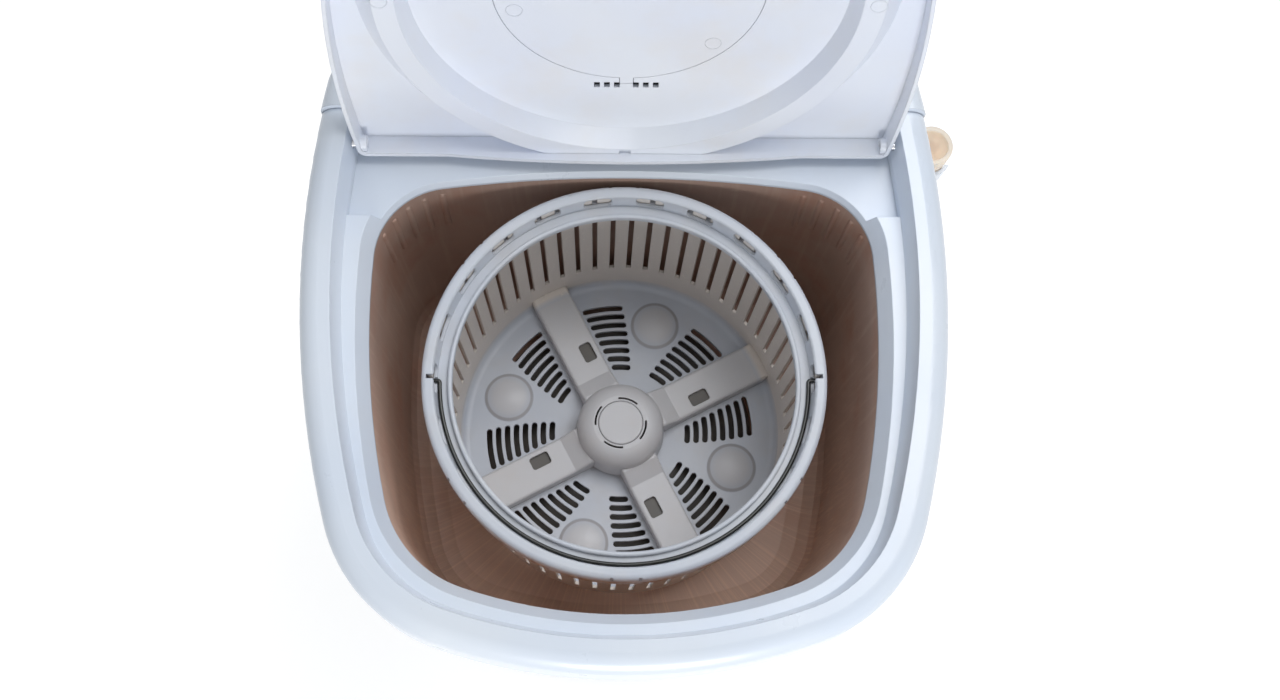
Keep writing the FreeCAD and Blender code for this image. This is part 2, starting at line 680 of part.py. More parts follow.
# Levels above the floor.
FRAME_LOW = S.rim_height - S.frame_skirt
LEDGE = S.rim_height - S.ledge_drop
DECK = S.rim_height - S.deck_drop
LIP = S.rim_height - S.lip_drop
FLANGE_SEAT = LIP - S.lip_thickness
CABINET_TOP = FRAME_LOW + S.slot_depth
RING_TOP = S.rim_height - S.ring_drop
BASKET_FLOOR = RING_TOP - S.basket_depth
ARM_TOP = BASKET_FLOOR + S.arm_rise
TUB_FLOOR = S.rim_height - S.tub_floor_drop
TUB_UNDER = TUB_FLOOR - S.tub_floor
PLATEAU = TUB_FLOOR + S.plateau_rise
HINGE = S.rim_height - S.hinge_drop
CONSOLE_TOP = S.rim_height + S.console_rise

CABINET_TOP_PLAN = inset(RIM_PLAN, S.rim_overhang)
FLOOR_PLAN = SimpleNamespace(
    half_width=S.base_half_width, widest=S.widest_back, side_bow=S.base_side_bow_radius,
    corner=S.base_front_corner_radius, front_bow=S.base_front_bow_radius, front=S.base_front_reach,
    rear=CABINET_TOP_PLAN.rear, rear_corner=CABINET_TOP_PLAN.rear_corner, rear_bow=None)


def cabinet_plan(level):
    """The cabinet's plan at a height: it narrows evenly from the frame to the floor."""
    share = level / FRAME_LOW
    mixed = {}
    for name, top in vars(CABINET_TOP_PLAN).items():
        low = getattr(FLOOR_PLAN, name)
        mixed[name] = low + (top - low) * share if top is not None else None
    return SimpleNamespace(**mixed)


def tub_plan(level):
    """The tub's inner plan at a height, with its draft."""
    behind_lip = S.tuck_gap
    return inset(TUB_PLAN, (FLANGE_SEAT - level) * tan_of(S.tub_draft) - behind_lip)


def plan_sketch(body, level, *plans):
    sketch = new_sketch(body, level=level)
    for plan in plans:
        plan_outline(sketch, plan)
    return sketch


def loft(body, kind, *sections):
    """A loft, straight from each (level, plan) to the next, added or taken away."""
    sketches = [plan_sketch(body, level, plan) for level, plan in sections]
    return add_feature(kind, sketches[0], Sections=sketches[1:], Ruled=True)


def rounded_foot(level, plan_at, radius):
    """Sections that lead from a flat floor into a drafted wall along a quarter round."""
    sections = []
    for angle in (0, 30, 60, 90):
        inward = radius * (1 - math.sin(math.radians(angle)))
        height = level + radius * (1 - math.cos(math.radians(angle)))
        sections.append((height, inset(plan_at(height), inward)))
    return sections


def side_of(plan, back):
    """Half width of a plan at a distance behind the axis, on its bowed side."""
    return (plan.half_width.value - plan.side_bow.value
            + math.sqrt(plan.side_bow.value ** 2 - (back - plan.widest.value) ** 2))


def turned(solid, angle):
    """A copy turned about the basket's axis, in degrees."""
    copy = solid.copy()
    copy.rotate(vector(0, 0), vector(0, 0, 1), angle)
    return copy


def block(low_x, low_y, low_z, high_x, high_y, high_z):
    corner = vector(low_x, low_y, low_z)
    return Part.makeBox(high_x - low_x, high_y - low_y, high_z - low_z, corner)


# Base, feet and cabinet.


def make_base():
    body = new_body("base_body")
    foot, top = S.foot_height, S.base_top
    floor = foot + S.base_floor
    loft(body, "AdditiveLoft", (foot, cabinet_plan(foot)), (top, cabinet_plan(top)))
    loft(body, "SubtractiveLoft", (floor, inset(cabinet_plan(floor), S.base_wall)),
         (top, inset(cabinet_plan(top), S.base_wall)))
    lip_out = inset(cabinet_plan(top), S.cabinet_wall + S.tuck_gap)
    pad(plan_sketch(body, top, lip_out, inset(cabinet_plan(top), S.base_wall)), S.base_lip)
    posts = new_sketch(body, level=floor)
    for x, y in motor_bolts():
        circle(posts, x, y, S.post_radius)
    pad(posts, S.post_height)
    holes = new_sketch(body, level=floor + S.post_height)
    for x, y in motor_bolts():
        circle(holes, x, y, S.bolt_radius)
    pocket_down(holes, S.bolt_depth)
    pegs = new_sketch(body, level=foot)
    for x, y in foot_places():
        circle(pegs, x, y, S.foot_peg_radius + S.tuck_gap / 4)
    pocket_up(pegs, S.base_floor)
    keep("base_tray", cut("base_tray", body, rear_holes("base_pilots", base_screw_places(), S.screw_length)))


def rear_holes(name, places, depth):
    """Screw holes that go into the rear from just outside it."""
    outside = vector(0, 1)
    return shapes(name, [Part.makeCylinder(S.screw_radius.value, depth.value + 1, place + outside, vector(0, -1, 0))
                         for place in places])


def motor_bolts():
    spread = S.bolt_half_spread
    return [(side * spread - S.motor_left, S.motor_back + end * spread)
            for side in (-1, 1) for end in (-1, 1)]


def foot_places():
    return [(side * S.foot_half_spread, back) for side in (-1, 1) for back in (-S.foot_front, S.foot_back)]


def make_feet():
    radius, height, peg = S.foot_radius, S.foot_height, S.foot_peg_radius
    edge = height / 7
    foot = lathe("foot", [(0, 0), (radius - edge, 0), (radius, edge), (radius - edge, height),
                          (peg, height), (peg, height + S.base_floor), (0, height + S.base_floor)])
    doc.recompute()
    copies = []
    for x, y in foot_places():
        copy = foot.Shape.copy()
        copy.translate(vector(x, y))
        copies.append(copy)
    keep("feet", shapes("feet", copies))


def make_cabinet():
    body = new_body("cabinet_body")
    low, high = S.base_top, CABINET_TOP
    loft(body, "AdditiveLoft", (low, cabinet_plan(low)), (high, cabinet_plan(high)))
    loft(body, "SubtractiveLoft", (low, inset(cabinet_plan(low), S.cabinet_wall)),
         (high, inset(cabinet_plan(high), S.cabinet_wall)))
    rear = CABINET_TOP_PLAN.rear
    half = S.cover_half_width - S.cover_overlap
    opening = box("rear_opening", (-half, rear - 2 * S.cabinet_wall, S.cover_low + S.cover_overlap),
                  (2 * half, 3 * S.cabinet_wall, S.cover_height - 2 * S.cover_overlap))
    outlet = cylinder("outlet_hole", S.gland_radius + S.tuck_gap / 2, S.body_half_width,
                      y=S.outlet_back, z=S.outlet_height, along="x")
    peg = cylinder("hook_hole", S.hook_peg_radius + S.hose_fit, S.body_half_width,
                   y=S.outlet_back, z=hook_level(), along="x")
    keep("cabinet", cut("cabinet", body, opening, outlet, peg, square_holes()))


def square_holes():
    """Square holes through the cabinet's rear wall, for every screw that bites there."""
    half = S.screw_radius.value + S.hose_fit.value
    rear, depth = CABINET_TOP_PLAN.rear.value, 2 * S.cabinet_wall.value
    return shapes("square_holes", [
        block(place.x - half, rear - depth, place.z - half, place.x + half, rear + depth, place.z + half)
        for place in cover_screw_places() + base_screw_places() + console_screw_places()])


def cover_screw_places():
    rear = CABINET_TOP_PLAN.rear.value
    half = S.cover_half_width.value - S.cover_overlap.value / 2
    low = S.cover_low.value + S.cover_overlap.value / 2
    high = S.cover_low.value + S.cover_height.value - S.cover_overlap.value / 2
    return [vector(side * half, rear, z) for side in (-1, 1) for z in (low, (low + high) / 2, high)]


def console_screw_places():
    level = (FRAME_LOW.value + CABINET_TOP.value) / 2
    return [vector(side * S.cover_half_width.value, S.rear_reach.value, level) for side in (-1, 1)]


def base_screw_places():
    level = S.base_top.value + S.base_lip.value / 2
    return [vector(side * S.cover_half_width.value, CABINET_TOP_PLAN.rear.value, level) for side in (-1, 1)]


def screw(place, direction, length=S.screw_length):
    """A small screw whose head sits on a face at place and points the other way."""
    direction = FreeCAD.Vector(direction).normalize()
    head = Part.makeCylinder(float(S.screw_head_radius), float(S.screw_head_height), place, direction * -1)
    shank = Part.makeCylinder(float(S.screw_radius), float(length), place, direction)
    cross = [Part.makeBox(2 * float(S.screw_head_radius) * 0.7, float(S.screw_radius) * 0.5,
                          float(S.screw_head_height)) for _ in range(2)]
    slot_depth = float(S.screw_head_height) / 2
    turn = FreeCAD.Rotation(vector(0, 0, 1), direction * -1)
    for quarter, arm in enumerate(cross):
        arm.translate(vector(-float(S.screw_head_radius) * 0.7, -float(S.screw_radius) * 0.25, slot_depth))
        arm.rotate(vector(0, 0), vector(0, 0, 1), 90 * quarter)
        arm.Placement = FreeCAD.Placement(place, turn).multiply(arm.Placement)
        head = head.cut(arm)
    return head.fuse(shank).removeSplitter()


def make_rear_cover():
    rear = CABINET_TOP_PLAN.rear
    half = S.cover_half_width
    plate = box("cover_plate", (-half, rear, S.cover_low), (2 * half, S.cover_thickness, S.cover_height))
    tray_half = half - S.cover_overlap - S.tuck_gap
    tray_low = S.cover_low + S.cover_overlap + S.tuck_gap
    tray_high = S.cover_height - 2 * (S.cover_overlap + S.tuck_gap)
    tray = box("cover_tray", (-tray_half, rear - S.cabinet_wall, tray_low),
               (2 * tray_half, S.cabinet_wall, tray_high))
    wall = S.cover_thickness
    hollow = box("cover_hollow", (-tray_half + wall, rear - 2 * S.cabinet_wall, tray_low + wall),
                 (2 * (tray_half - wall), 2 * S.cabinet_wall, tray_high - 2 * wall))
    vents = []
    for column in (-1, 0, 1):
        for row in range(int(S.vent_rows.value)):
            middle = column * S.vent_width.value * 1.35
            low = S.cover_low.value + S.cover_height.value * 0.42 + row * S.vent_pitch.value
            vents.append(block(middle - S.vent_width.value / 2, rear.value - 1, low,
                               middle + S.vent_width.value / 2, rear.value + 2 * wall.value,
                               low + S.vent_height.value))
    for place in cover_screw_places():
        vents.append(Part.makeCylinder(S.screw_radius.value, 3 * wall.value,
                                       place - vector(0, wall.value), vector(0, 1, 0)))
    gland = cord_gland_place()
    vents.append(Part.makeCylinder(S.cord_gland_radius.value, 4 * wall.value,
                                   gland - vector(0, wall.value), vector(0, 1, 0)))
    keep("rear_cover", cut("rear_cover", fuse("cover_solid", plate, tray), hollow,
                           shapes("cover_holes", vents)))
    on_cover = vector(0, wall.value)
    keep("rear_cover_screws", shapes("rear_cover_screws", [
        screw(place + on_cover, vector(0, -1, 0)) for place in cover_screw_places()]))
    keep("base_screws", shapes("base_screws", [
        screw(place, vector(0, -1, 0)) for place in base_screw_places()]))


def cord_gland_place():
    return vector(-S.cover_half_width.value * 0.62, CABINET_TOP_PLAN.rear.value,
                  S.cover_low.value + S.cover_overlap.value + 3 * S.cord_gland_radius.value)


def make_cord_gland():
    radius, bore, wall = S.cord_gland_radius, S.cord_bore_radius, S.cover_thickness
    gap = S.tuck_gap / 2
    body = lathe("cord_gland", [
        (bore, -3 * wall), (radius - gap, -3 * wall), (radius - gap, wall), (radius + wall, wall),
        (radius + wall, 2 * wall), (radius - gap, 3 * wall), (bore + wall / 2, 5 * wall), (bore, 5 * wall)])
    doc.recompute()
    place = cord_gland_place()
    turn = FreeCAD.Rotation(vector(1, 0, 0), -90)
    body.Placement = FreeCAD.Placement(place, turn)
    keep("cord_gland", body)


# Top frame and console.


def make_top_frame():
    body = new_body("frame_body")
    block_feature = pad(plan_sketch(body, FRAME_LOW, RIM_PLAN), S.frame_skirt)
    round_edges(block_feature, S.rim_round, at_level(S.rim_height))
    behind = new_sketch(body, level=S.rim_height)
    rectangle(behind, -2 * S.body_half_width, S.seam_back, 2 * S.body_half_width, 2 * S.rear_reach)
    pocket_down(behind, 2 * S.frame_skirt)
    ledge_plan = inset(RIM_PLAN, S.rim_width + S.rim_slope)
    loft(body, "SubtractiveLoft", (LEDGE, ledge_plan), (S.rim_height, inset(RIM_PLAN, S.rim_width)))
    loft(body, "SubtractiveLoft", (LIP, TUB_PLAN), (LEDGE, inset(TUB_PLAN, -S.bevel_width)))
    pocket_down(plan_sketch(body, LIP, TUB_PLAN), 2 * S.frame_skirt)
    flange_room = inset(TUB_PLAN, -S.flange_seat)
    pocket_down(plan_sketch(body, FLANGE_SEAT, flange_room), 2 * S.frame_skirt)
    slot = [inset(RIM_PLAN, S.frame_wall), inset(RIM_PLAN, S.frame_wall + S.wall_slot)]
    pocket_up(plan_sketch(body, FRAME_LOW, *slot), S.slot_depth)
    inner = S.rim_width - S.frame_wall
    pocket_up(plan_sketch(body, FRAME_LOW, slot[1], inset(RIM_PLAN, inner)), S.frame_skirt - S.frame_wall)
    below_deck = DECK - S.frame_wall - FRAME_LOW
    pocket_up(plan_sketch(body, FRAME_LOW, inset(RIM_PLAN, inner), flange_room), below_deck)
    lowered = common("deck_cut", deck_block(ledge_plan), box(
        "deck_room", (-S.body_half_width, S.deck_front, DECK),
        (2 * S.body_half_width, S.rear_reach, S.ledge_drop)))
    bores = cylinder("hinge_bores", S.hinge_pin_radius, 2 * S.body_half_width,
                     -S.body_half_width, S.hinge_back, HINGE, along="x")
    skin = deck_block(inset(RIM_PLAN, S.frame_wall), FRAME_LOW, S.frame_skirt)
    keep("top_frame", cut("top_frame", body, lowered, common("bore_reach", bores, skin),
                          tub_screw_holes()))


def deck_block(plan, low=None, height=None):
    """A plain upright block of a plan, for cutting and limiting."""
    body = new_body("deck_block")
    pad(plan_sketch(body, low or DECK, plan), height or S.ledge_drop)
    return body


def tub_screw_places():
    """Points on the middle of the tub's flange, under the frame's seat."""
    out = S.flange_width.value * 0.65
    ring = inset(TUB_PLAN, -out)
    level = FLANGE_SEAT.value - S.tub_flange.value
    spots = []
    for back in (-0.45 * S.tub_front_reach.value, 0, 0.45 * S.tub_rear_reach.value):
        spots += [(side * side_of(ring, back), back) for side in (-1, 1)]
    half = 0.4 * S.tub_half_width.value
    front = -ring.front.value + ring.front_bow.value - math.sqrt(ring.front_bow.value ** 2 - half ** 2)
    rear = ring.rear.value - ring.rear_bow.value + math.sqrt(ring.rear_bow.value ** 2 - half ** 2)
    spots += [(side * half, y) for side in (-1, 1) for y in (front, rear)]
    return [vector(x, y, level) for x, y in spots]


def tub_screw_holes():
    return shapes("tub_screw_holes", [
        Part.makeCylinder(S.screw_radius.value, S.screw_length.value, place, vector(0, 0, 1))
        for place in tub_screw_places()])


def make_console():
    outer = new_body("console_outer")
    raised = pad(plan_sketch(outer, FRAME_LOW, RIM_PLAN), S.frame_skirt + S.console_rise)
    round_edges(raised, S.console_round, at_level(CONSOLE_TOP))
    front = S.seam_back + S.seam_gap
    wide = 2 * S.body_half_width
    rear_half = box("console_zone", (-wide / 2, front, FRAME_LOW), (wide, S.rear_reach, 2 * S.frame_skirt))
    wall = S.frame_wall
    inner = deck_block(inset(RIM_PLAN, wall), FRAME_LOW, S.frame_skirt + S.console_rise - wall)
    inner_zone = box("console_hollow_zone", (-wide / 2, front + wall, FRAME_LOW - wall),
                     (wide, S.rear_reach, 2 * S.frame_skirt))
    recess = box("panel_recess", (-S.panel_half_width - S.panel_gap, panel_front() - S.panel_gap,
                                  CONSOLE_TOP - S.panel_thickness),
                 (2 * (S.panel_half_width + S.panel_gap), S.panel_depth + 2 * S.panel_gap, S.console_round))
    holes = [cylinder(f"console_hole_{name}", S.spindle_radius + S.bolt_gap, S.frame_skirt,
                      x, control_back(), FRAME_LOW + S.console_round) for name, x in knob_places()]
    pilots = rear_holes("console_screw_holes", console_screw_places(), S.long_screw)
    slot = new_body("console_slot")
    pad(plan_sketch(slot, FRAME_LOW, inset(RIM_PLAN, wall), inset(RIM_PLAN, wall + S.wall_slot)),
        S.slot_depth)
    shell = cut("console_shell", common("console_block", outer, rear_half),
                common("console_hollow", inner, inner_zone))
    keep("rear_console", cut("rear_console", shell, recess, pilots, slot, *holes))
    keep("console_screws", shapes("console_screws", [
        screw(place, vector(0, -1, 0), S.long_screw) for place in console_screw_places()]))


def panel_front():
    return S.seam_back + S.seam_gap + S.frame_wall + S.panel_gap


def control_back():
    """Basket axis to the line of the knobs."""
    return panel_front() + S.panel_depth / 2


def knob_places():
    return [("timer", S.knob_spread), ("selector", -S.knob_spread)]


def make_controls():
    panel = box("panel_plate", (-S.panel_half_width, panel_front(), CONSOLE_TOP - S.panel_thickness),
                (2 * S.panel_half_width, S.panel_depth, S.panel_thickness))
    holes = [cylinder(f"panel_hole_{name}", S.spindle_radius + S.bolt_gap, S.console_round,
                      x, control_back(), CONSOLE_TOP - S.console_round / 2) for name, x in knob_places()]
    keep("control_panel", cut("control_panel", panel, *holes))
    ceiling = CONSOLE_TOP - S.frame_wall
    for name, x in knob_places():
        width = S.timer_width if name == "timer" else S.switch_width
        case = box(f"{name}_case", (x - width / 2, control_back() - S.switch_depth / 2, ceiling - S.timer_height),
                   (width, S.switch_depth, S.timer_height))
        bore = cylinder(f"{name}_bore", S.spindle_radius + S.shaft_fit, S.timer_height,
                        x, control_back(), ceiling - S.spindle_depth)
        unit = "wash_timer" if name == "timer" else "selector_switch"
        keep(unit, cut(unit, case, bore))
        make_knob(name, x)


def make_knob(name, x):
    """A round foot with a straight grip across it, on a spindle of its own."""
    radius, flat = S.knob_radius, S.knob_flats
    foot, top = S.knob_skirt, S.knob_height
    edge = S.knob_gap
    disc = lathe(f"{name}_knob_foot", [(0, 0), (radius, 0), (radius, foot - edge), (radius - edge, foot), (0, foot)])
    grip = new_body(f"{name}_knob_grip")
    sketch = new_sketch(grip, level=ZERO)
    reach = radius - edge
    outline(sketch, [(-flat, -reach + flat), (flat, -reach + flat, flat * 1.2), (flat, reach - flat),
                     (-flat, reach - flat, flat * 1.2)])
    ridge = pad(sketch, top)
    round_edges(ridge, edge, at_level(top))
    socket = cylinder(f"{name}_knob_socket", S.spindle_radius, top - 3 * edge)
    knob = cut(f"{name}_knob", fuse(f"{name}_knob_solid", disc, grip), socket)
    keep(f"{name}_knob", move(knob, x, control_back(), CONSOLE_TOP + edge))
    low = CONSOLE_TOP - S.frame_wall - S.spindle_depth + S.knob_gap
    high = CONSOLE_TOP + top - 2 * edge
    keep(f"{name}_spindle", cylinder(f"{name}_spindle", S.spindle_radius, high - low, x, control_back(), low))


# Tub, with its drain spigot.


def make_tub():
    body = new_body("tub_body")

    def outer_plan(level):
        return inset(tub_plan(level), -S.tub_wall)

    high_plan = tub_plan(FLANGE_SEAT)
    loft(body, "AdditiveLoft", *rounded_foot(TUB_UNDER, outer_plan, S.tub_round + S.tub_wall),
         (FLANGE_SEAT, outer_plan(FLANGE_SEAT)))
    room = new_body("tub_room")
    loft(room, "AdditiveLoft", *rounded_foot(TUB_FLOOR, tub_plan, S.tub_round), (FLANGE_SEAT, high_plan))
    flange = new_body("tub_flange")
    pad(plan_sketch(flange, FLANGE_SEAT - S.tub_flange, inset(high_plan, -S.flange_width), high_plan),
        S.tub_flange)
    hollowed = cut("tub_hollowed", fuse("tub_solid", body, flange), room)
    plateau = cylinder("tub_plateau", S.plateau_radius, S.plateau_rise + S.tub_floor, z=TUB_UNDER)
    spigot = cylinder("tub_spigot", S.spigot_radius, S.spigot_length + S.tub_floor, S.sump_right, S.sump_back,
                      TUB_UNDER - S.spigot_length)
    drain = cylinder("tub_drain", S.spigot_radius - S.spigot_wall, S.spigot_length + S.tub_round,
                     S.sump_right,
                     S.sump_back, TUB_UNDER - S.spigot_length - S.tub_floor)
    sleeve = cylinder("tub_sleeve_hole", S.housing_radius + S.bolt_gap, S.tub_floor_drop,
                      z=TUB_UNDER - S.tub_floor)
    bolts = shapes("tub_bolt_holes", [
        Part.makeCylinder(S.bolt_radius.value, S.plateau_rise.value, place, vector(0, 0, 1))
        for place in housing_bolt_places()])
    through = shapes("flange_screw_holes", [
        Part.makeCylinder(S.screw_radius.value, 2 * S.tub_flange.value,
                          place - vector(0, 0, S.tub_flange.value / 2), vector(0, 0, 1))
        for place in tub_screw_places()])
    whole = fuse("tub_whole", hollowed, plateau, spigot, *tub_fingers())
    keep("tub", cut("tub", whole, drain, sleeve, bolts, through))
    keep("tub_screws", shapes("tub_screws", [
        screw(place, vector(0, 0, 1)) for place in tub_screw_places()]))


def tub_fingers():
    """Moulded fingers down the two rear corners of the tub, along its drafted wall."""
    plan = tub_plan(FLANGE_SEAT)
    side = vector(plan.half_width - plan.side_bow, plan.widest)
    rear = vector(0, plan.rear - plan.rear_bow)
    radius = plan.rear_corner.value
    centre = meeting(rear, plan.rear_bow.value - radius, side, plan.side_bow.value - radius, rear=True)
    lean = math.tan(math.radians(S.tub_draft.value))
    top = FLANGE_SEAT.value - S.finger_drop.value
    solids = []
    for step in range(5):
        angle = math.radians(25 + 14 * step)
        outward = vector(math.cos(angle), math.sin(angle))
        for sign in (-1, 1):
            def on_wall(level):
                reach = radius + S.finger_sink.value - (FLANGE_SEAT.value - level) * lean
                place = centre + outward * reach
                return FreeCAD.Vector(sign * place.x, place.y, level)
            low = on_wall(top - S.finger_length.value)
            run = on_wall(top) - low
            rod = Part.makeCylinder(S.finger_radius.value, run.Length, low, run)
            ends = [Part.makeSphere(S.finger_radius.value, spot) for spot in (low, low + run)]
            solids.append(rod.multiFuse(ends))
    return [shapes("tub_fingers", solids)]


def housing_bolt_places():
    reach = (S.housing_radius.value + S.housing_flange_radius.value) / 2
    low = TUB_UNDER.value
    return [vector(reach * math.cos(a), reach * math.sin(a), low)
            for a in (math.radians(45 + 90 * k) for k in range(4))]


# Basket, ring and bail.


def wall_radius(level):
    """Inner radius of the basket's wall at a height."""
    top = S.ring_radius - S.ring_wall - S.basket_fit - S.basket_wall
    return top - (RING_TOP - level) * tan_of(S.basket_draft)


def make_basket():
    seat = RING_TOP - S.ring_wall
    floor, under = BASKET_FLOOR, BASKET_FLOOR - S.basket_floor
    corner = S.basket_round
    inner_low, outer_low = wall_radius(floor + corner), wall_radius(floor + corner) + S.basket_wall
    hub_foot, hub_top = S.hub_radius, floor + S.hub_rise
    neck = floor + S.hub_neck
    shell = lathe("basket_shell", [
        (wall_radius(seat) + S.basket_wall, seat), (wall_radius(seat), seat), (inner_low, floor + corner),
        (inner_low - corner, floor, -corner), (hub_foot + 1, floor), (hub_foot, neck),
        (S.hub_top_radius, hub_top, S.hub_round), (0, hub_top), (0, hub_top - S.hub_wall),
        (S.hub_top_radius - S.hub_wall, hub_top - S.hub_wall), (hub_foot - S.hub_wall, neck),
        (hub_foot - S.hub_wall, under), (inner_low - corner, under),
        (outer_low, floor + corner, corner + S.basket_wall + S.basket_floor)])
    arms, cavities, bumps, cuts = [], [], [], []
    wall_foot = wall_radius(floor).value
    half = S.arm_width.value / 2
    hollow = half - S.arm_wall.value
    for quarter in range(4):
        angle = S.arm_angle.value + 90 * quarter
        hub_edge = S.hub_radius.value - S.hub_wall.value
        arms.append(turned(basket_arm(half, wall_foot), angle))
        cavity = block(hub_edge - S.hub_wall.value, -hollow, under.value - 1,
                       wall_foot - S.basket_round.value, hollow, ARM_TOP.value - S.arm_wall.value)
        cavities.append(turned(cavity, angle))
        side = S.arm_window_side.value
        window = block(S.arm_window_out.value - S.arm_window_length.value / 2,
                       -side - S.arm_window_width.value / 2,
                       floor.value, S.arm_window_out.value + S.arm_window_length.value / 2,
                       -side + S.arm_window_width.value / 2, ARM_TOP.value + 1)
        upright = [edge for edge in window.Edges if edge.BoundBox.ZLength > 1]
        cuts.append(turned(window.makeFillet(S.floor_slot_width.value / 2, upright), angle))
        bumps.append(turned(bump(), angle + 45))
        for sector in (-1, 1):
            cuts += [turned(slot, angle) for slot in floor_slot_group(sector)]
    for step in range(int(S.wall_slots.value)):
        cuts.append(turned(wall_slot(), (step + 0.5) * FULL_TURN / S.wall_slots.value))
    cuts += hub_slits() + pivot_notches()
    cap_seat = cylinder("cap_seat", S.cap_radius + S.panel_gap, S.cap_depth + 1, z=hub_top - S.cap_depth)
    solid = fuse("basket_solid", shell, shapes("basket_arms", arms), shapes("basket_bumps", bumps))
    opened = cut("basket_open", solid, shapes("arm_cavities", cavities), cap_seat)
    keep("spin_basket", cut("spin_basket", opened, shapes("basket_cuts", cuts)))
    cap, edge = S.cap_radius, S.cap_rise
    low = hub_top - S.cap_depth
    high = hub_top + S.cap_rise
    keep("hub_cap", lathe("hub_cap", [(0, low), (cap, low), (cap, high - edge), (cap - edge, high), (0, high)]))


def basket_arm(half, wall_foot):
    """An arm on the basket's floor, with round upper edges and a climb to the hub."""
    hub_edge = math.sqrt(S.hub_radius.value ** 2 - half ** 2) - S.hub_wall.value / 3
    low, top = BASKET_FLOOR.value - S.basket_floor.value / 3, ARM_TOP.value
    crest = top + S.arm_ramp_rise.value
    outer = wall_foot + S.basket_wall.value / 2
    side = [(hub_edge, low), (hub_edge, crest), (S.hub_radius.value, crest), (S.arm_ramp_out.value, top),
            (outer, top), (outer, low)]
    points = [vector(x, -half, z) for x, z in side]
    solid = Part.Face(Part.makePolygon(points + points[:1])).extrude(vector(0, 2 * half, 0))
    upper = [edge for edge in solid.Edges if edge.BoundBox.ZMin > low + 1 and edge.BoundBox.YLength < 1
             and edge.BoundBox.XLength > 1]
    return solid.makeFillet(S.arm_round.value, upper)


def bump():
    """A low round dome on the basket's floor."""
    rise, radius = S.bump_rise.value, S.bump_radius.value
    ball = (radius ** 2 + rise ** 2) / (2 * rise)
    floor = BASKET_FLOOR.value
    centre = vector(S.bump_out.value, 0, floor + rise - ball)
    slab = block(S.bump_out.value - radius, -radius, floor - 1, S.bump_out.value + radius, radius,
                 floor + 2 * rise)
    return Part.makeSphere(ball, centre).common(slab)


def floor_slot_group(sector):
    """One fan of arc slots beside an arm, lengthening outwards."""
    count = int(S.floor_slots.value)
    half = S.floor_slot_width.value / 2
    near = S.arm_width.value / 2 + S.floor_slot_margin.value
    low = BASKET_FLOOR.value - 2 * S.basket_floor.value
    high = BASKET_FLOOR.value + S.basket_floor.value
    slots = []
    for step in range(count):
        radius = S.floor_slot_first.value + step * S.floor_slot_pitch.value
        share = step / (count - 1)
        start = math.degrees(math.asin(near / radius))
        end = S.floor_slot_inner_end.value + share * (S.floor_slot_outer_end.value - S.floor_slot_inner_end.value)
        sweep = end - start
        ring = Part.makeCylinder(radius + half, high - low, vector(0, 0, low), vector(0, 0, 1), sweep)
        ring = ring.cut(Part.makeCylinder(radius - half, high - low, vector(0, 0, low), vector(0, 0, 1)))
        ends = []
        for angle in (0, sweep):
            spot = vector(radius * math.cos(math.radians(angle)), radius * math.sin(math.radians(angle)), low)
            ends.append(Part.makeCylinder(half, high - low, spot, vector(0, 0, 1)))
        slot = ring.multiFuse(ends).removeSplitter()
        slots.append(turned(slot, start if sector > 0 else -start - sweep))
    return slots


def wall_slot():
    low = RING_TOP.value - S.wall_slot_low.value
    high = RING_TOP.value - S.ring_wall.value - S.wall_slot_width.value
    half = S.wall_slot_width.value / 2
    return block(wall_radius(dim(low)).value - 2, -half, low, S.ring_radius.value, half, high)


def hub_slits():
    """Four arc slits through the hub's top, round the cap."""
    middle = (S.cap_radius.value + S.hub_top_radius.value) / 2 + S.slit_width.value / 4
    low = BASKET_FLOOR.value + S.hub_rise.value - 2 * S.hub_wall.value
    height = 3 * S.hub_wall.value
    slits = []
    for quarter in range(4):
        ring = Part.makeCylinder(middle + S.slit_width.value / 2, height, vector(0, 0, low),
                                 vector(0, 0, 1), 46)
        inner = Part.makeCylinder(middle - S.slit_width.value / 2, height, vector(0, 0, low), vector(0, 0, 1))
        slits.append(turned(ring.cut(inner), S.arm_angle.value + 22 + 90 * quarter))
    return slits


def bail_level():
    """Height of the bail's axis: its wire lies just above the channel's floor."""
    return RING_TOP - S.channel_depth + S.wire_radius + S.panel_gap


def pivot_notches():
    """Open notches for the bail's ends, on the X axis, each with a wider mouth for the bend."""
    radius = S.wire_radius.value + S.bail_fit.value
    level = bail_level().value
    notches = []
    for sign in (-1, 1):
        start = vector(sign * S.bail_radius.value, 0, level)
        bore = Part.makeCylinder(radius, S.bail_end.value + S.basket_fit.value, start, vector(sign, 0, 0))
        reach = sign * (S.bail_radius.value + S.bail_end.value + S.basket_fit.value)
        low_x, high_x = sorted((start.x, reach))
        notch = block(low_x, -radius, level, high_x, radius, RING_TOP.value + 1)
        mouth_end = sign * (S.bail_radius.value + 2 * S.bail_bend.value)
        low_x, high_x = sorted((start.x, mouth_end))
        half = S.wire_radius.value + S.bail_bend.value / 2
        mouth = block(low_x, -half, RING_TOP.value - S.channel_depth.value, high_x, half, RING_TOP.value + 1)
        notches.append(bore.multiFuse([notch, mouth]))
    return notches


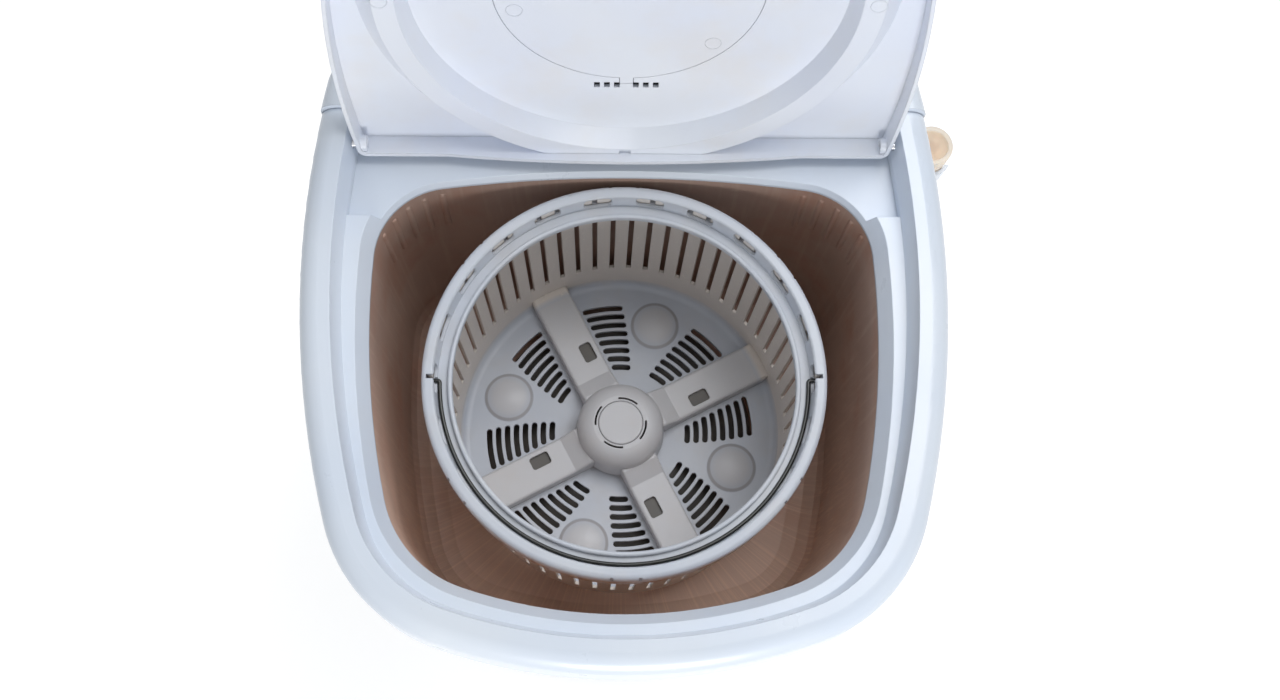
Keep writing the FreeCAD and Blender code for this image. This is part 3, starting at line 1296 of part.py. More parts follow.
def make_ring():
    top, outer = RING_TOP, S.ring_radius
    lean = S.ring_wall / 3
    low = top - S.ring_skirt
    edge = S.ring_wall
    inner_face = outer - S.band_width
    channel = top - S.channel_depth
    face_foot = inner_face - S.face_lean
    roll_out = face_foot - S.channel_width
    roll_in = roll_out - S.roll_width
    roll_top = channel + S.roll_rise
    ceiling = top - S.ring_wall
    clear = wall_radius(ceiling) - S.basket_fit
    clear_foot = wall_radius(channel - S.channel_floor) - S.basket_fit
    skirt_inside = outer - S.ring_wall
    body = lathe("ring_body", [
        (outer - lean, low), (outer, top - edge), (outer - edge, top, edge), (inner_face + edge / 2, top),
        (inner_face, top - edge / 2, edge / 2), (face_foot, channel), (roll_out, channel),
        (roll_out, roll_top), (roll_in, roll_top, S.roll_width / 2 + S.bail_fit),
        (roll_in, channel - S.channel_floor),
        (clear_foot, channel - S.channel_floor), (clear, ceiling), (skirt_inside, ceiling),
        (skirt_inside - lean, low)])
    cuts = []
    middle = channel.value + S.channel_depth.value * 0.48
    half = S.window_height.value / 2
    for step in range(int(S.window_count.value)):
        along = S.window_length.value / 2
        face = inner_face.value - 2
        slot = block(face, -along, middle - half, face + S.band_width.value / 2, along, middle + half)
        corners = [line for line in slot.Edges if line.BoundBox.XLength > 1]
        pitch = FULL_TURN / S.window_count.value
        cuts.append(turned(slot.makeFillet(S.window_corner.value, corners), step * pitch))
    for angle in (35, 90, 140, 215, 270, 325):
        for side in (-1, 1):
            nick = block(outer.value - 1, -1, top.value - 9, outer.value + 1, 1, top.value + 1)
            cuts.append(turned(nick, angle + 4 * side))
    keep("basket_ring", cut("basket_ring", body, shapes("ring_cuts", cuts + pivot_notches())))


def make_bail():
    """A wire bow round the front of the channel, with its ends turned out into the ring."""
    radius, bend, level = S.bail_radius.value, S.bail_bend.value, bail_level().value
    tip = radius + S.bail_end.value
    turn = math.asin(bend / (radius + bend))
    start = (radius + bend) * math.cos(turn)

    def bend_point(sign, angle):
        return vector(sign * (start + bend * math.cos(angle)), -bend + bend * math.sin(angle), level)

    half, end = math.pi / 2, math.pi - turn
    left = [bend_point(-1, angle) for angle in (half, (half + end) / 2, end)]
    right = [bend_point(1, angle) for angle in (end, (half + end) / 2, half)]
    path = Part.Wire([
        Part.makeLine(vector(-tip, 0, level), left[0]), Part.Arc(*left).toShape(),
        Part.Arc(left[2], vector(0, -radius, level), right[0]).toShape(), Part.Arc(*right).toShape(),
        Part.makeLine(right[2], vector(tip, 0, level))])
    section = Part.Wire(Part.makeCircle(S.wire_radius.value, vector(-tip, 0, level), vector(1, 0, 0)))
    item = doc.addObject("Part::Feature", "bail")
    item.Shape = path.makePipeShell([section], True, False)
    keep("bail", item)


# Drive.


def make_drive():
    shaft, fit = S.shaft_radius, S.shaft_fit
    flange_top = TUB_UNDER - S.gasket_thickness
    flange_low = flange_top - S.housing_flange
    sleeve_low = TUB_UNDER - S.housing_length
    sleeve_top = PLATEAU + S.housing_tower
    seal_low = sleeve_top - S.seal_height
    upper_low = seal_low - S.bush_length
    lower_high = sleeve_low + S.bush_length
    bush, tube = S.bush_radius, S.housing_radius
    relief = bush - S.bolt_radius / 2
    housing = lathe("housing_body", [
        (bush, sleeve_low), (tube, sleeve_low), (tube, flange_low), (S.housing_flange_radius, flange_low),
        (S.housing_flange_radius, flange_top), (tube, flange_top), (tube, sleeve_top),
        (S.seal_radius, sleeve_top), (S.seal_radius, seal_low), (bush, seal_low), (bush, upper_low),
        (relief, upper_low), (relief, lower_high), (bush, lower_high)])
    holes = shapes("housing_holes", [
        Part.makeCylinder(S.bolt_radius.value + S.bolt_gap.value, 3 * S.housing_flange.value,
                          place - vector(0, 0, 2 * S.housing_flange.value), vector(0, 0, 1))
        for place in housing_bolt_places()])
    keep("bearing_housing", cut("bearing_housing", housing, holes))
    gasket = lathe("gasket_body", [
        (tube + S.bolt_gap, flange_top), (S.housing_flange_radius, flange_top),
        (S.housing_flange_radius, TUB_UNDER), (tube + S.bolt_gap, TUB_UNDER)])
    gasket_holes = shapes("gasket_holes", [
        Part.makeCylinder(S.bolt_radius.value + S.bolt_gap.value, 4 * S.gasket_thickness.value,
                          place - vector(0, 0, 2 * S.gasket_thickness.value), vector(0, 0, 1))
        for place in housing_bolt_places()])
    keep("tub_gasket", cut("tub_gasket", gasket, gasket_holes))
    for name, low, high in (("upper_bush", upper_low, seal_low), ("lower_bush", sleeve_low, lower_high)):
        keep(name, lathe(name, [(shaft + fit, low), (bush, low), (bush, high), (shaft + fit, high)]))
    lip = shaft + 2 * fit
    keep("shaft_seal", lathe("shaft_seal", [
        (lip, seal_low), (S.seal_radius, seal_low), (S.seal_radius, sleeve_top), (lip + 3, sleeve_top),
        (lip, sleeve_top - S.seal_height / 3)]))
    heads = []
    for place in housing_bolt_places():
        under = place - vector(0, 0, S.gasket_thickness.value + S.housing_flange.value)
        head = Part.makeCylinder(S.bolt_head_radius.value, S.bolt_head_height.value, under, vector(0, 0, -1))
        length = S.gasket_thickness.value + S.housing_flange.value + S.plateau_rise.value - S.bolt_radius.value
        heads.append(head.fuse(Part.makeCylinder(S.bolt_radius.value, length, under,
                                                 vector(0, 0, 1))).removeSplitter())
    keep("housing_bolts", shapes("housing_bolts", heads))
    make_pulleys(sleeve_low)


def belt_level():
    """Height of the middle of the belt."""
    return TUB_UNDER - S.housing_length - S.pulley_drop - S.pulley_hub_length / 2


def grooved(radius):
    """Outline of a pulley's grooved edge, from its lower to its upper face."""
    half = S.pulley_width / 2
    floor = radius - S.groove_depth
    inside = half - S.flange_edge
    return [(radius, -half), (radius, -half + S.flange_edge / 2), (floor, -inside), (floor, inside),
            (radius, half - S.flange_edge / 2), (radius, half)]


def make_pulleys(sleeve_low):
    middle = belt_level()
    half, hub_half = S.pulley_width / 2, S.pulley_hub_length / 2
    web = S.pulley_web / 2
    hub, shaft = S.pulley_hub_radius, S.shaft_radius
    rim_inside = S.pulley_radius - S.groove_depth - S.flange_edge
    wheel = lathe("driven_pulley_body", [(shaft, -hub_half), (hub, -hub_half), (hub, -web), (rim_inside, -web),
                                         (rim_inside, -half)] + grooved(S.pulley_radius)
                  + [(rim_inside, half), (rim_inside, web), (hub, web), (hub, hub_half), (shaft, hub_half)])
    reach = (S.pulley_hub_radius.value + rim_inside.value) / 2
    window = (rim_inside.value - S.pulley_hub_radius.value) * 0.36
    holes = shapes("pulley_holes", [
        Part.makeCylinder(window, 3 * S.pulley_web.value,
                          vector(reach * math.cos(a), reach * math.sin(a), -1.5 * S.pulley_web.value),
                          vector(0, 0, 1))
        for a in (math.radians(60 * k) for k in range(6))])
    keep("driven_pulley", move(cut("driven_pulley", wheel, holes), z=middle))
    nut_top = middle - hub_half
    nut = new_body("pulley_nut")
    sketch = new_sketch(nut, level=nut_top - S.nut_height)
    flats = [(S.nut_radius * cos_of(dim(60 * k)), S.nut_radius * sin_of(dim(60 * k))) for k in range(6)]
    outline(sketch, flats)
    circle(sketch, ZERO, ZERO, shaft)
    pad(sketch, S.nut_height)
    keep("pulley_nut", nut)
    shaft_low = nut_top - S.nut_height - S.bolt_radius
    shaft_high = BASKET_FLOOR + S.pulsator_hub_rise - S.hub_wall
    bore = S.bolt_radius
    keep("drive_shaft", lathe("drive_shaft", [
        (0, shaft_low), (shaft, shaft_low), (shaft, shaft_high), (bore, shaft_high),
        (bore, shaft_high - S.bush_length), (0, shaft_high - S.bush_length)]))
    small_hub = S.motor_pulley_radius - S.groove_depth
    small = lathe("motor_pulley", [(S.motor_shaft_radius, -half)] + grooved(S.motor_pulley_radius)
                  + [(S.motor_shaft_radius, half)])
    keep("motor_pulley", move(small, -S.motor_left, S.motor_back, middle))
    make_belt(middle, small_hub)


def make_belt(level, small_floor):
    """A flat belt round both pulleys: two bows joined by straight runs."""
    gap, thick = S.belt_gap, S.belt_thickness
    span = Dim(f"sqrt({S.motor_left.text}^2 + {S.motor_back.text}^2)",
               math.hypot(S.motor_left.value, S.motor_back.value))
    body = new_body("drive_belt")
    sketch = new_sketch(body)
    big_floor = S.pulley_radius - S.groove_depth
    for extra in (gap, gap + thick):
        loop_round(sketch, span, big_floor + extra, small_floor + extra)
    width = S.pulley_width - 2 * S.flange_edge - 2 * gap
    pad(sketch, width)
    turn = math.degrees(math.atan2(S.motor_back.value, -S.motor_left.value))
    body.Placement = FreeCAD.Placement(vector(0, 0), FreeCAD.Rotation(vector(0, 0, 1), turn))
    keep("drive_belt", move(body, z=level - width / 2))


def loop_round(sketch, span, big, small):
    """A closed loop round two circles whose centres lie on the X axis."""
    tilt = math.acos((big.value - small.value) / span.value)
    far = vector(span, 0)
    up = vector(0, 0, 1)
    first = sketch.addGeometry(Part.ArcOfCircle(Part.Circle(vector(0, 0), up, big.value), tilt,
                                                2 * math.pi - tilt))
    last = sketch.addGeometry(Part.ArcOfCircle(Part.Circle(far, up, small.value), -tilt, tilt))

    def touch(centre, radius, angle):
        return centre + vector(radius * math.cos(angle), radius * math.sin(angle))

    low = sketch.addGeometry(Part.LineSegment(touch(vector(0, 0), big.value, -tilt),
                                              touch(far, small.value, -tilt)))
    high = sketch.addGeometry(Part.LineSegment(touch(far, small.value, tilt),
                                               touch(vector(0, 0), big.value, tilt)))
    for one, one_end, other, other_end in ((first, 2, low, 1), (low, 2, last, 1), (last, 2, high, 1),
                                           (high, 2, first, 1)):
        sketch.addConstraint(Sketcher.Constraint("Tangent", one, one_end, other, other_end))
    pin_point(sketch, first, 3, ZERO, ZERO)
    pin_point(sketch, last, 3, span, ZERO)
    bind(sketch, "Radius", first, size=big)
    bind(sketch, "Radius", last, size=small)


def make_pulsator():
    floor = BASKET_FLOOR
    rim = S.pulsator_radius
    rim_low = TUB_FLOOR + S.pulsator_gap
    shell = S.pulsator_shell
    hub, hub_top = S.pulsator_hub_radius, floor + S.pulsator_hub_rise
    crown = floor - S.basket_floor - shell
    boss = S.seal_radius
    boss_low = PLATEAU + S.housing_tower + shell
    shaft_top = hub_top - S.hub_wall
    edge = shell / 2
    body = lathe("pulsator_body", [
        (S.bolt_radius, hub_top), (hub - edge, hub_top), (hub, hub_top - edge), (hub + edge, crown + edge),
        (hub + 2 * shell, crown), (rim - edge, rim_low + shell), (rim, rim_low + edge), (rim, rim_low),
        (rim - edge, rim_low), (rim - shell, rim_low + edge), (hub + shell, crown - shell),
        (boss, crown - shell), (boss, boss_low), (S.shaft_radius, boss_low), (S.shaft_radius, shaft_top),
        (S.bolt_radius, shaft_top)])
    half = S.arm_width.value / 2 - S.arm_wall.value - S.vane_gap.value
    top = ARM_TOP.value - S.arm_wall.value - S.seat_gap.value
    vanes = []
    for quarter in range(4):
        vane = block(hub.value - 1, -half, rim_low.value + shell.value, S.vane_reach.value, half, top)
        upright = [edge for edge in vane.Edges if edge.BoundBox.ZLength > 1 and edge.BoundBox.XMin > hub.value]
        vanes.append(turned(vane.makeFillet(shell.value, upright), S.arm_angle.value + 90 * quarter))
    inner = cylinder("pulsator_core", hub - edge, S.tub_floor_drop, z=TUB_FLOOR)
    below = lathe("pulsator_below", [
        (0, TUB_FLOOR), (rim, TUB_FLOOR), (rim, rim_low + edge), (hub + 2 * shell, crown - edge),
        (0, crown - edge)])
    keep("pulsator", fuse("pulsator", body, cut("pulsator_vanes", shapes("vanes", vanes), inner, below)))
    head, bolt = S.bolt_head_radius, S.bolt_radius
    head_top = hub_top + S.bolt_head_height
    keep("pulsator_screw", lathe("pulsator_screw", [
        (0, shaft_top - S.bush_length + bolt), (bolt, shaft_top - S.bush_length + bolt), (bolt, hub_top),
        (head, hub_top), (head, head_top - edge), (head - edge, head_top), (0, head_top)]))


def make_motor():
    floor = S.foot_height + S.base_floor
    grommet_low = floor + S.post_height
    bracket_low = grommet_low + S.grommet_height
    motor_low = bracket_low + S.bracket_thickness
    motor_top = motor_low + S.motor_height
    x, y = -S.motor_left, S.motor_back
    size = S.bracket_half_width
    plate = box("bracket_plate", (x - size, y - size, bracket_low), (2 * size, 2 * size, S.bracket_thickness))
    holes = [cylinder(f"bracket_hole_{k}", S.bolt_radius + S.bolt_gap, 3 * S.bracket_thickness, bx, by,
                      bracket_low - S.bracket_thickness) for k, (bx, by) in enumerate(motor_bolts())]
    keep("motor_bracket", cut("motor_bracket", plate, *holes))
    radius, shaft = S.motor_radius, S.motor_shaft_radius
    step, neck = S.motor_radius / 8, S.motor_shaft_radius * 3
    bore = shaft + S.shaft_fit
    depth = S.motor_height - step
    motor = lathe("motor", [
        (0, motor_low), (radius - step, motor_low), (radius - step, motor_low + step),
        (radius, motor_low + step),
        (radius, motor_top - 2 * step), (radius - step, motor_top - 2 * step),
        (radius - 2 * step, motor_top - step),
        (neck, motor_top - step), (neck, motor_top), (bore, motor_top), (bore, motor_top - depth),
        (0, motor_top - depth)])
    keep("motor", move(motor, x, y))
    top = belt_level() + S.pulley_width / 2
    low = motor_top - depth + S.bolt_gap
    keep("motor_shaft", cylinder("motor_shaft", shaft, top - low, x, y, low))
    grommets, bolts = [], []
    for bx, by in motor_bolts():
        spot = vector(bx, by, grommet_low)
        ring = Part.makeCylinder(S.grommet_radius.value, S.grommet_height.value, spot)
        hole = Part.makeCylinder(S.bolt_radius.value + S.bolt_gap.value, S.grommet_height.value, spot)
        grommets.append(ring.cut(hole))
        seat = vector(bx, by, motor_low)
        head = Part.makeCylinder(S.bolt_head_radius.value, S.bolt_head_height.value, seat)
        length = S.bracket_thickness.value + S.grommet_height.value + S.bolt_depth.value - S.bolt_radius.value
        bolts.append(head.fuse(Part.makeCylinder(S.bolt_radius.value, length, seat,
                                                 vector(0, 0, -1))).removeSplitter())
    keep("motor_grommets", shapes("motor_grommets", grommets))
    keep("motor_bolts", shapes("motor_bolts", bolts))
    cup, wall = S.capacitor_radius, S.clip_wall
    clip = lathe("capacitor_clip", [(0, floor), (cup + wall, floor), (cup + wall, floor + S.clip_height),
                                    (cup, floor + S.clip_height), (cup, floor + wall), (0, floor + wall)])
    keep("capacitor_clip", move(clip, S.capacitor_right, -S.capacitor_front))
    high = floor + wall + S.capacitor_height
    fit = S.tuck_gap / 4
    can = lathe("capacitor", [(0, floor + wall), (cup - fit, floor + wall), (cup - fit, high - wall),
                              (cup - wall, high), (0, high)])
    keep("capacitor", move(can, S.capacitor_right, -S.capacitor_front))


# Drain: a hose from the tub to the outlet in the right-hand wall, and one that hangs on that wall.


def wall_lean():
    """Lean of the cabinet's side in degrees."""
    run = CABINET_TOP_PLAN.half_width.value - S.base_half_width.value
    return math.degrees(math.atan2(run, FRAME_LOW.value))


def wall_x(level):
    """Basket axis to the right-hand wall's outside, beside the drain hose."""
    return side_of(cabinet_plan(dim(level)), S.outlet_back.value)


def hook_level():
    return S.drain_top - S.hook_drop - S.hook_height / 2


def hose_foot():
    """Where the drain hose's axis meets the outlet's."""
    top = S.drain_top.value
    x = wall_x(top) + S.hose_stand_off.value + S.rib_radius.value
    drop = top - S.outlet_height.value
    return vector(x - drop * math.tan(math.radians(wall_lean())), S.outlet_back, S.outlet_height)


def hose_direction():
    lean = math.radians(wall_lean())
    return vector(math.sin(lean), 0, math.cos(lean))


def wall_band(name, outside, inside, low, height):
    """A stretch of the cabinet's wall, thickened on both sides, for cutting against."""
    body = new_body(name)
    levels = (low, low + height)
    loft(body, "AdditiveLoft", *[(level, inset(cabinet_plan(level), -outside)) for level in levels])
    if inside:
        loft(body, "SubtractiveLoft", *[(level, inset(cabinet_plan(level), inside)) for level in levels])
    return body


def make_drain():
    tube = S.spigot_radius.value
    bore = tube - S.spigot_wall.value
    foot, along = hose_foot(), hose_direction()
    wall = wall_x(S.outlet_height.value)
    inner_end = wall - S.gland_half_length.value - 2 * S.gland_collar.value - 2 * S.spigot_length.value / 2
    reach = foot.x - inner_end
    rise = S.spigot_length.value + tube
    begin = vector(inner_end, S.outlet_back, S.outlet_height)
    right = vector(1, 0, 0)

    def elbow(radius, extra):
        level = Part.makeCylinder(radius, reach + extra, begin - right * extra, right)
        upright = Part.makeCylinder(radius, rise + extra, foot, along)
        return level.multiFuse([upright, Part.makeSphere(radius, foot)])

    keep("drain_outlet", shapes("drain_outlet", [elbow(tube, 0).cut(elbow(bore, 1))]))
    make_inner_hose(begin)
    make_drain_hose(foot, along, tube)
    collar = cylinder("gland_collar", S.gland_radius + S.gland_collar, 2 * S.gland_half_length,
                      dim(wall) - S.gland_half_length, S.outlet_back, S.outlet_height, along="x")
    sleeve = cylinder("gland_sleeve", S.gland_radius, 2 * S.gland_half_length,
                      dim(wall) - S.gland_half_length, S.outlet_back, S.outlet_height, along="x")
    hole = cylinder("gland_bore", S.spigot_radius + S.hose_fit, 4 * S.gland_half_length,
                    dim(wall) - 2 * S.gland_half_length, S.outlet_back, S.outlet_height, along="x")
    band = wall_band("gland_wall", S.tuck_gap / 2, S.cabinet_wall + S.tuck_gap / 2,
                     S.outlet_height - 2 * S.gland_radius, 4 * S.gland_radius)
    keep("outlet_grommet", cut("outlet_grommet", fuse("gland_solid", sleeve, cut("gland_collars", collar, band)), hole))
    make_hose_clip(foot, along)


def make_inner_hose(outlet):
    """A rubber hose down from the tub's spigot, back and out to the outlet, on round bends."""
    bend = S.hose_bend.value
    x, y, z = S.sump_right.value, S.sump_back.value, S.outlet_height.value
    back = S.outlet_back.value
    top = TUB_UNDER.value - S.hose_end_gap.value
    end = outlet.x + S.spigot_length.value - S.hose_end_gap.value
    soft = bend * (1 - math.cos(math.pi / 4))
    path = Part.Wire([
        Part.makeLine(vector(x, y, top), vector(x, y, z + bend)),
        Part.Arc(vector(x, y, z + bend), vector(x, y + soft, z + soft), vector(x, y + bend, z)).toShape(),
        Part.makeLine(vector(x, y + bend, z), vector(x, back - bend, z)),
        Part.Arc(vector(x, back - bend, z), vector(x + soft, back - soft, z),
                 vector(x + bend, back, z)).toShape(),
        Part.makeLine(vector(x + bend, back, z), vector(end, back, z))])
    inside = S.spigot_radius.value + S.hose_fit.value
    tubes = []
    for radius in (inside + S.hose_wall.value, inside):
        section = Part.Wire(Part.makeCircle(radius, vector(x, y, top), vector(0, 0, -1)))
        tubes.append(path.makePipeShell([section], True, False))
    keep("inner_drain_hose", shapes("inner_drain_hose", [tubes[0].cut(tubes[1])]))


def make_drain_hose(foot, along, tube):
    """A ribbed hose, turned about its own axis and stood along the cabinet's side."""
    begin = S.gland_radius.value + S.gland_collar.value + S.hose_end_gap.value
    length = (S.drain_top.value - S.outlet_height.value) / along.z - begin
    pitch = S.rib_pitch.value
    ribs = int((length - 2 * pitch) / pitch)
    plain = (length - ribs * pitch) / 2
    inside = tube + S.hose_fit.value
    edge = [(inside, 0), (S.rib_radius.value, 0), (S.rib_radius.value, plain - pitch / 4)]
    for step in range(ribs):
        low = plain + step * pitch
        edge += [(S.rib_valley.value, low), (S.rib_valley.value, low + pitch * 0.4),
                 (S.rib_radius.value, low + pitch * 0.6), (S.rib_radius.value, low + pitch * 0.9)]
    edge += [(S.rib_radius.value, length), (inside, length)]
    points = [vector(radius, 0, height) for radius, height in edge]
    face = Part.Face(Part.makePolygon(points + points[:1]))
    hose = face.revolve(vector(0, 0), vector(0, 0, 1), FULL_TURN)
    item = doc.addObject("Part::Feature", "drain_hose")
    item.Shape = hose
    turn = FreeCAD.Rotation(vector(0, 0, 1), along)
    item.Placement = FreeCAD.Placement(foot + along * begin, turn)
    keep("drain_hose", item)


def make_hose_clip(foot, along):
    """An open ring round the hose's upper end, on a foot that is pegged into the wall."""
    height, level = S.hook_height.value, hook_level().value
    span = (level - S.outlet_height.value) / along.z - height / 2
    inside = S.rib_radius.value + S.bolt_gap.value
    outside = inside + S.hook_wall.value
    low = foot + along * span
    ring = Part.makeCylinder(outside, height, low, along)
    middle = low + along * (height / 2)
    wall = wall_x(level)
    stem = block(wall - S.cabinet_wall.value, middle.y - height / 2, level - height / 2,
                 middle.x, middle.y + height / 2, level + height / 2)
    bore = Part.makeCylinder(inside, 3 * height, low - along * height, along)
    mouth = block(middle.x, middle.y - S.hook_mouth.value / 2, level - height,
                  middle.x + 2 * outside, middle.y + S.hook_mouth.value / 2, level + height)
    band = wall_band("hook_wall_band", S.tuck_gap / 2, None, hook_level() - S.hook_height, 2 * S.hook_height)
    solid = shapes("hook_solid", [ring.fuse(stem)])
    room = shapes("hook_room", [bore, mouth])
    shaped = cut("hook_shaped", cut("hook_open", solid, room), band)
    peg = cylinder("hook_peg", S.hook_peg_radius, S.cabinet_wall * 3,
                   dim(wall) - 2 * S.cabinet_wall, S.outlet_back, hook_level(), along="x")
    keep("hose_clip", fuse("hose_clip", shaped, cut("hook_peg_clear", peg, shapes("hook_peg_room", [bore]))))


# Lid, in its shut place and then turned open about the hinge.


def open_lid(item):
    pivot = vector(0, S.hinge_back, HINGE)
    turn = FreeCAD.Rotation(vector(-1, 0, 0), S.lid_open.value)
    item.Placement = FreeCAD.Placement(vector(0, 0), turn, pivot)
    return item


def lid_plan(amount):
    """The lid's own plan: the rim's, set in, with a straight rear edge by the hinge."""
    plan = inset(RIM_PLAN, S.lid_inset + amount)
    plan.rear = S.lid_rear - amount
    plan.rear_corner = S.lid_corner_radius - amount
    return plan


def make_lid():
    low = LEDGE + S.lid_seat_gap
    high = low + S.lid_height
    wall = S.lid_wall
    under = high - wall
    middle = S.lid_middle_back
    body = new_body("lid_body")
    block_feature = pad(plan_sketch(body, low, lid_plan(ZERO)), S.lid_height)
    round_edges(block_feature, S.lid_round, at_level(high))
    pocket_up(plan_sketch(body, low, lid_plan(wall)), S.lid_height - wall)
    half = lid_half_width()
    lugs, bores = hinge_lugs(half)
    limit = deck_block(lid_plan(ZERO), low, S.lid_height)
    lug_item = common("lid_lugs", shapes("lug_rods", lugs), limit)
    moat, groove = lid_moat(low, high)
    solid = fuse("lid_solid", body, moat, lid_apron(low), lug_item)
    hole = cylinder("lid_hole", S.insert_radius + S.insert_fit, 4 * wall, y=middle, z=under - wall)
    tongue_slot = block(-S.tongue_half_width.value - S.insert_fit.value,
                        middle.value + S.insert_radius.value - 1,
                        under.value - 1, S.tongue_half_width.value + S.insert_fit.value,
                        tongue_end() + S.insert_fit.value, high.value + 1)
    catch = block(-S.catch_half_width.value, S.lid_rear.value - wall.value - S.catch_length.value,
                  low.value, S.catch_half_width.value, S.lid_rear.value - wall.value,
                  under.value - S.moat_depth.value + S.catch_depth.value)
    small = shapes("lid_small_holes", bores + lid_slots(under.value, high.value)
                   + drip_holes(under.value) + [catch, tongue_slot])
    keep("lid", open_lid(cut("lid", solid, groove, hole, small)))
    make_insert(under, high)
    make_hinge_pins(half)


def lid_half_width():
    return side_of(lid_plan(ZERO), S.hinge_back.value)


def hinge_lugs(half):
    """Rods in the lid's rear corners, and the bores for the pins."""
    lugs, bores = [], []
    for sign in (-1, 1):
        start = sign * half if sign < 0 else half - S.lug_length.value
        lugs.append(Part.makeCylinder(S.lug_radius.value, S.lug_length.value,
                                      vector(start, S.hinge_back, HINGE), vector(1, 0, 0)))
        begin = vector(sign * (half - S.lug_length.value - 1), S.hinge_back, HINGE)
        bores.append(Part.makeCylinder(S.hinge_pin_radius.value + S.hinge_fit.value,
                                       S.hinge_pin_length.value + 2,
                                       begin, vector(sign, 0, 0)))
    return lugs, bores


def lid_moat(low, high):
    """The round moat that stands out below the lid, and the room above it."""
    wall = S.lid_wall
    under = high - wall
    bottom = under - S.moat_depth
    inner, edge, outer, mouth = S.dish_floor_radius, S.dish_edge_radius, S.moat_radius, S.moat_mouth_radius
    ring = move(lathe("moat_ring", [
        (inner, under + wall / 2), (inner, under), (edge, bottom), (outer, bottom), (mouth, under),
        (mouth, under + wall / 2)]), y=S.lid_middle_back)
    slack_in, slack_out = S.moat_inner_wall, S.moat_outer_wall
    room = move(lathe("moat_room", [
        (inner + slack_in, high), (edge + slack_in, bottom + wall), (outer - slack_out, bottom + wall),
        (mouth - slack_out, high)]), y=S.lid_middle_back)
    limit = deck_block(lid_plan(wall / 2), low, S.lid_height)
    inside = deck_block(lid_plan(wall), low, S.lid_height)
    return common("lid_moat", ring, limit), common("lid_groove", room, inside)


def lid_apron(low):
    """The rear edge of the lid, deeper at its middle along a long arc."""
    drop, half = S.apron_drop, S.apron_half_width
    height = drop + S.lid_wall
    band = cut("apron_band", deck_block(lid_plan(ZERO), low - drop, height),
               deck_block(lid_plan(S.lid_wall), low - drop, height))
    radius = half * half / (2 * drop) + drop / 2
    level = low - drop + radius
    arc = cylinder("apron_arc", radius, 4 * S.lid_wall, 0, S.lid_rear - 2 * S.lid_wall, level, along="y")
    return common("lid_apron", band, arc)


def lid_slots(under, high):
    """Small square holes in two rows of three, behind the disc."""
    holes = []
    half = S.lid_slot_width.value / 2
    back = S.lid_middle_back.value + S.lid_slot_back.value
    for sign in (-1, 1):
        for step in range(3):
            middle = sign * (S.lid_slot_first.value + S.lid_slot_pitch.value * step)
            holes.append(block(middle - half, back - S.lid_slot_length.value / 2, under - 1,
                               middle + half, back + S.lid_slot_length.value / 2, high + 1))
    return holes


def drip_holes(under):
    back, depth = S.drain_dot_back.value, S.lid_wall.value
    places = [vector(sign * S.drain_dot_spread.value, back, under - depth / 2) for sign in (-1, 1)]
    return [Part.makeCylinder(S.drain_dot_radius.value, depth, place, vector(0, 0, 1)) for place in places]


def tongue_end():
    return S.lid_middle_back.value + S.insert_radius.value + S.tongue_length.value


def make_insert(under, high):
    """The disc set in the lid: a shallow cup with a rim outside and a snap tongue by the hinge."""
    middle = S.lid_middle_back
    radius, flange, rim, fit = S.insert_radius, S.insert_flange, S.insert_thickness, S.insert_fit
    disc = move(lathe("insert_disc", [
        (0, under), (radius, under), (radius, high + fit), (radius + flange, high + fit),
        (radius + flange, high + fit + rim / 2), (radius + flange - rim, high + fit + rim),
        (0, high + fit + rim)]), y=middle)
    hollow = move(lathe("insert_hollow", [
        (0, under + rim), (radius - S.lid_wall, under + rim), (radius - S.lid_wall, high + fit + rim),
        (0, high + fit + rim)]), y=middle)
    half = S.tongue_half_width.value
    tongue = block(-half, middle.value + radius.value - S.lid_wall.value / 2, under.value,
                   half, tongue_end(), under.value + rim.value)
    shell = cut("insert_shell", disc, hollow)
    keep("lid_insert", open_lid(fuse("lid_insert", shell, shapes("insert_tongue", [tongue]))))


def make_hinge_pins(half):
    pins = []
    for sign in (-1, 1):
        begin = vector(sign * (half - S.lug_length.value + 1), S.hinge_back, HINGE)
        pins.append(Part.makeCylinder(S.hinge_pin_radius.value, S.hinge_pin_length.value, begin,
                                      vector(sign, 0, 0)))
    keep("hinge_pins", shapes("hinge_pins", pins))


def check_document():
    """Every object has to be made, whole and valid, and every cut has to take something away."""
    faults = []
    for item in doc.Objects:
        if {"Invalid", "Error"} & set(item.State):
            faults.append(f"{item.Name} did not recompute: {item.getStatusString()}")
        elif item.TypeId in ("PartDesign::Pocket", "PartDesign::SubtractiveLoft"):
            if item.Shape.Volume >= item.BaseFeature.Shape.Volume - 1e-6:
                faults.append(f"{item.Name} takes nothing away")
    for label, item in PIECES.items():
        if item.Shape.isNull() or not item.Shape.isValid():
            faults.append(f"{label} has no valid shape")
        else:
            print(f"{label}: {len(item.Shape.Solids)} solid(s), {item.Shape.Volume / 1000:.2f} cm3")
    if faults:
        raise RuntimeError("; ".join(faults))


def main():
    make_base()
    make_feet()
    make_cabinet()
    make_rear_cover()
    make_cord_gland()
    make_top_frame()
    make_console()
    make_controls()
    make_tub()
    make_basket()
    make_ring()
    make_bail()
    make_drive()
    make_pulsator()
    make_motor()
    make_drain()
    make_lid()
    doc.recompute()
    check_document()
    os.makedirs("parts", exist_ok=True)
    for label, item in PIECES.items():
        item.Shape.exportStep(f"parts/{label}.step")


main()
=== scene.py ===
"""Looks of the mini washing machine: finishes, printed and moulded details, and a plain studio."""

import json
import math

import bmesh
import bpy
from mathutils import Matrix, Vector


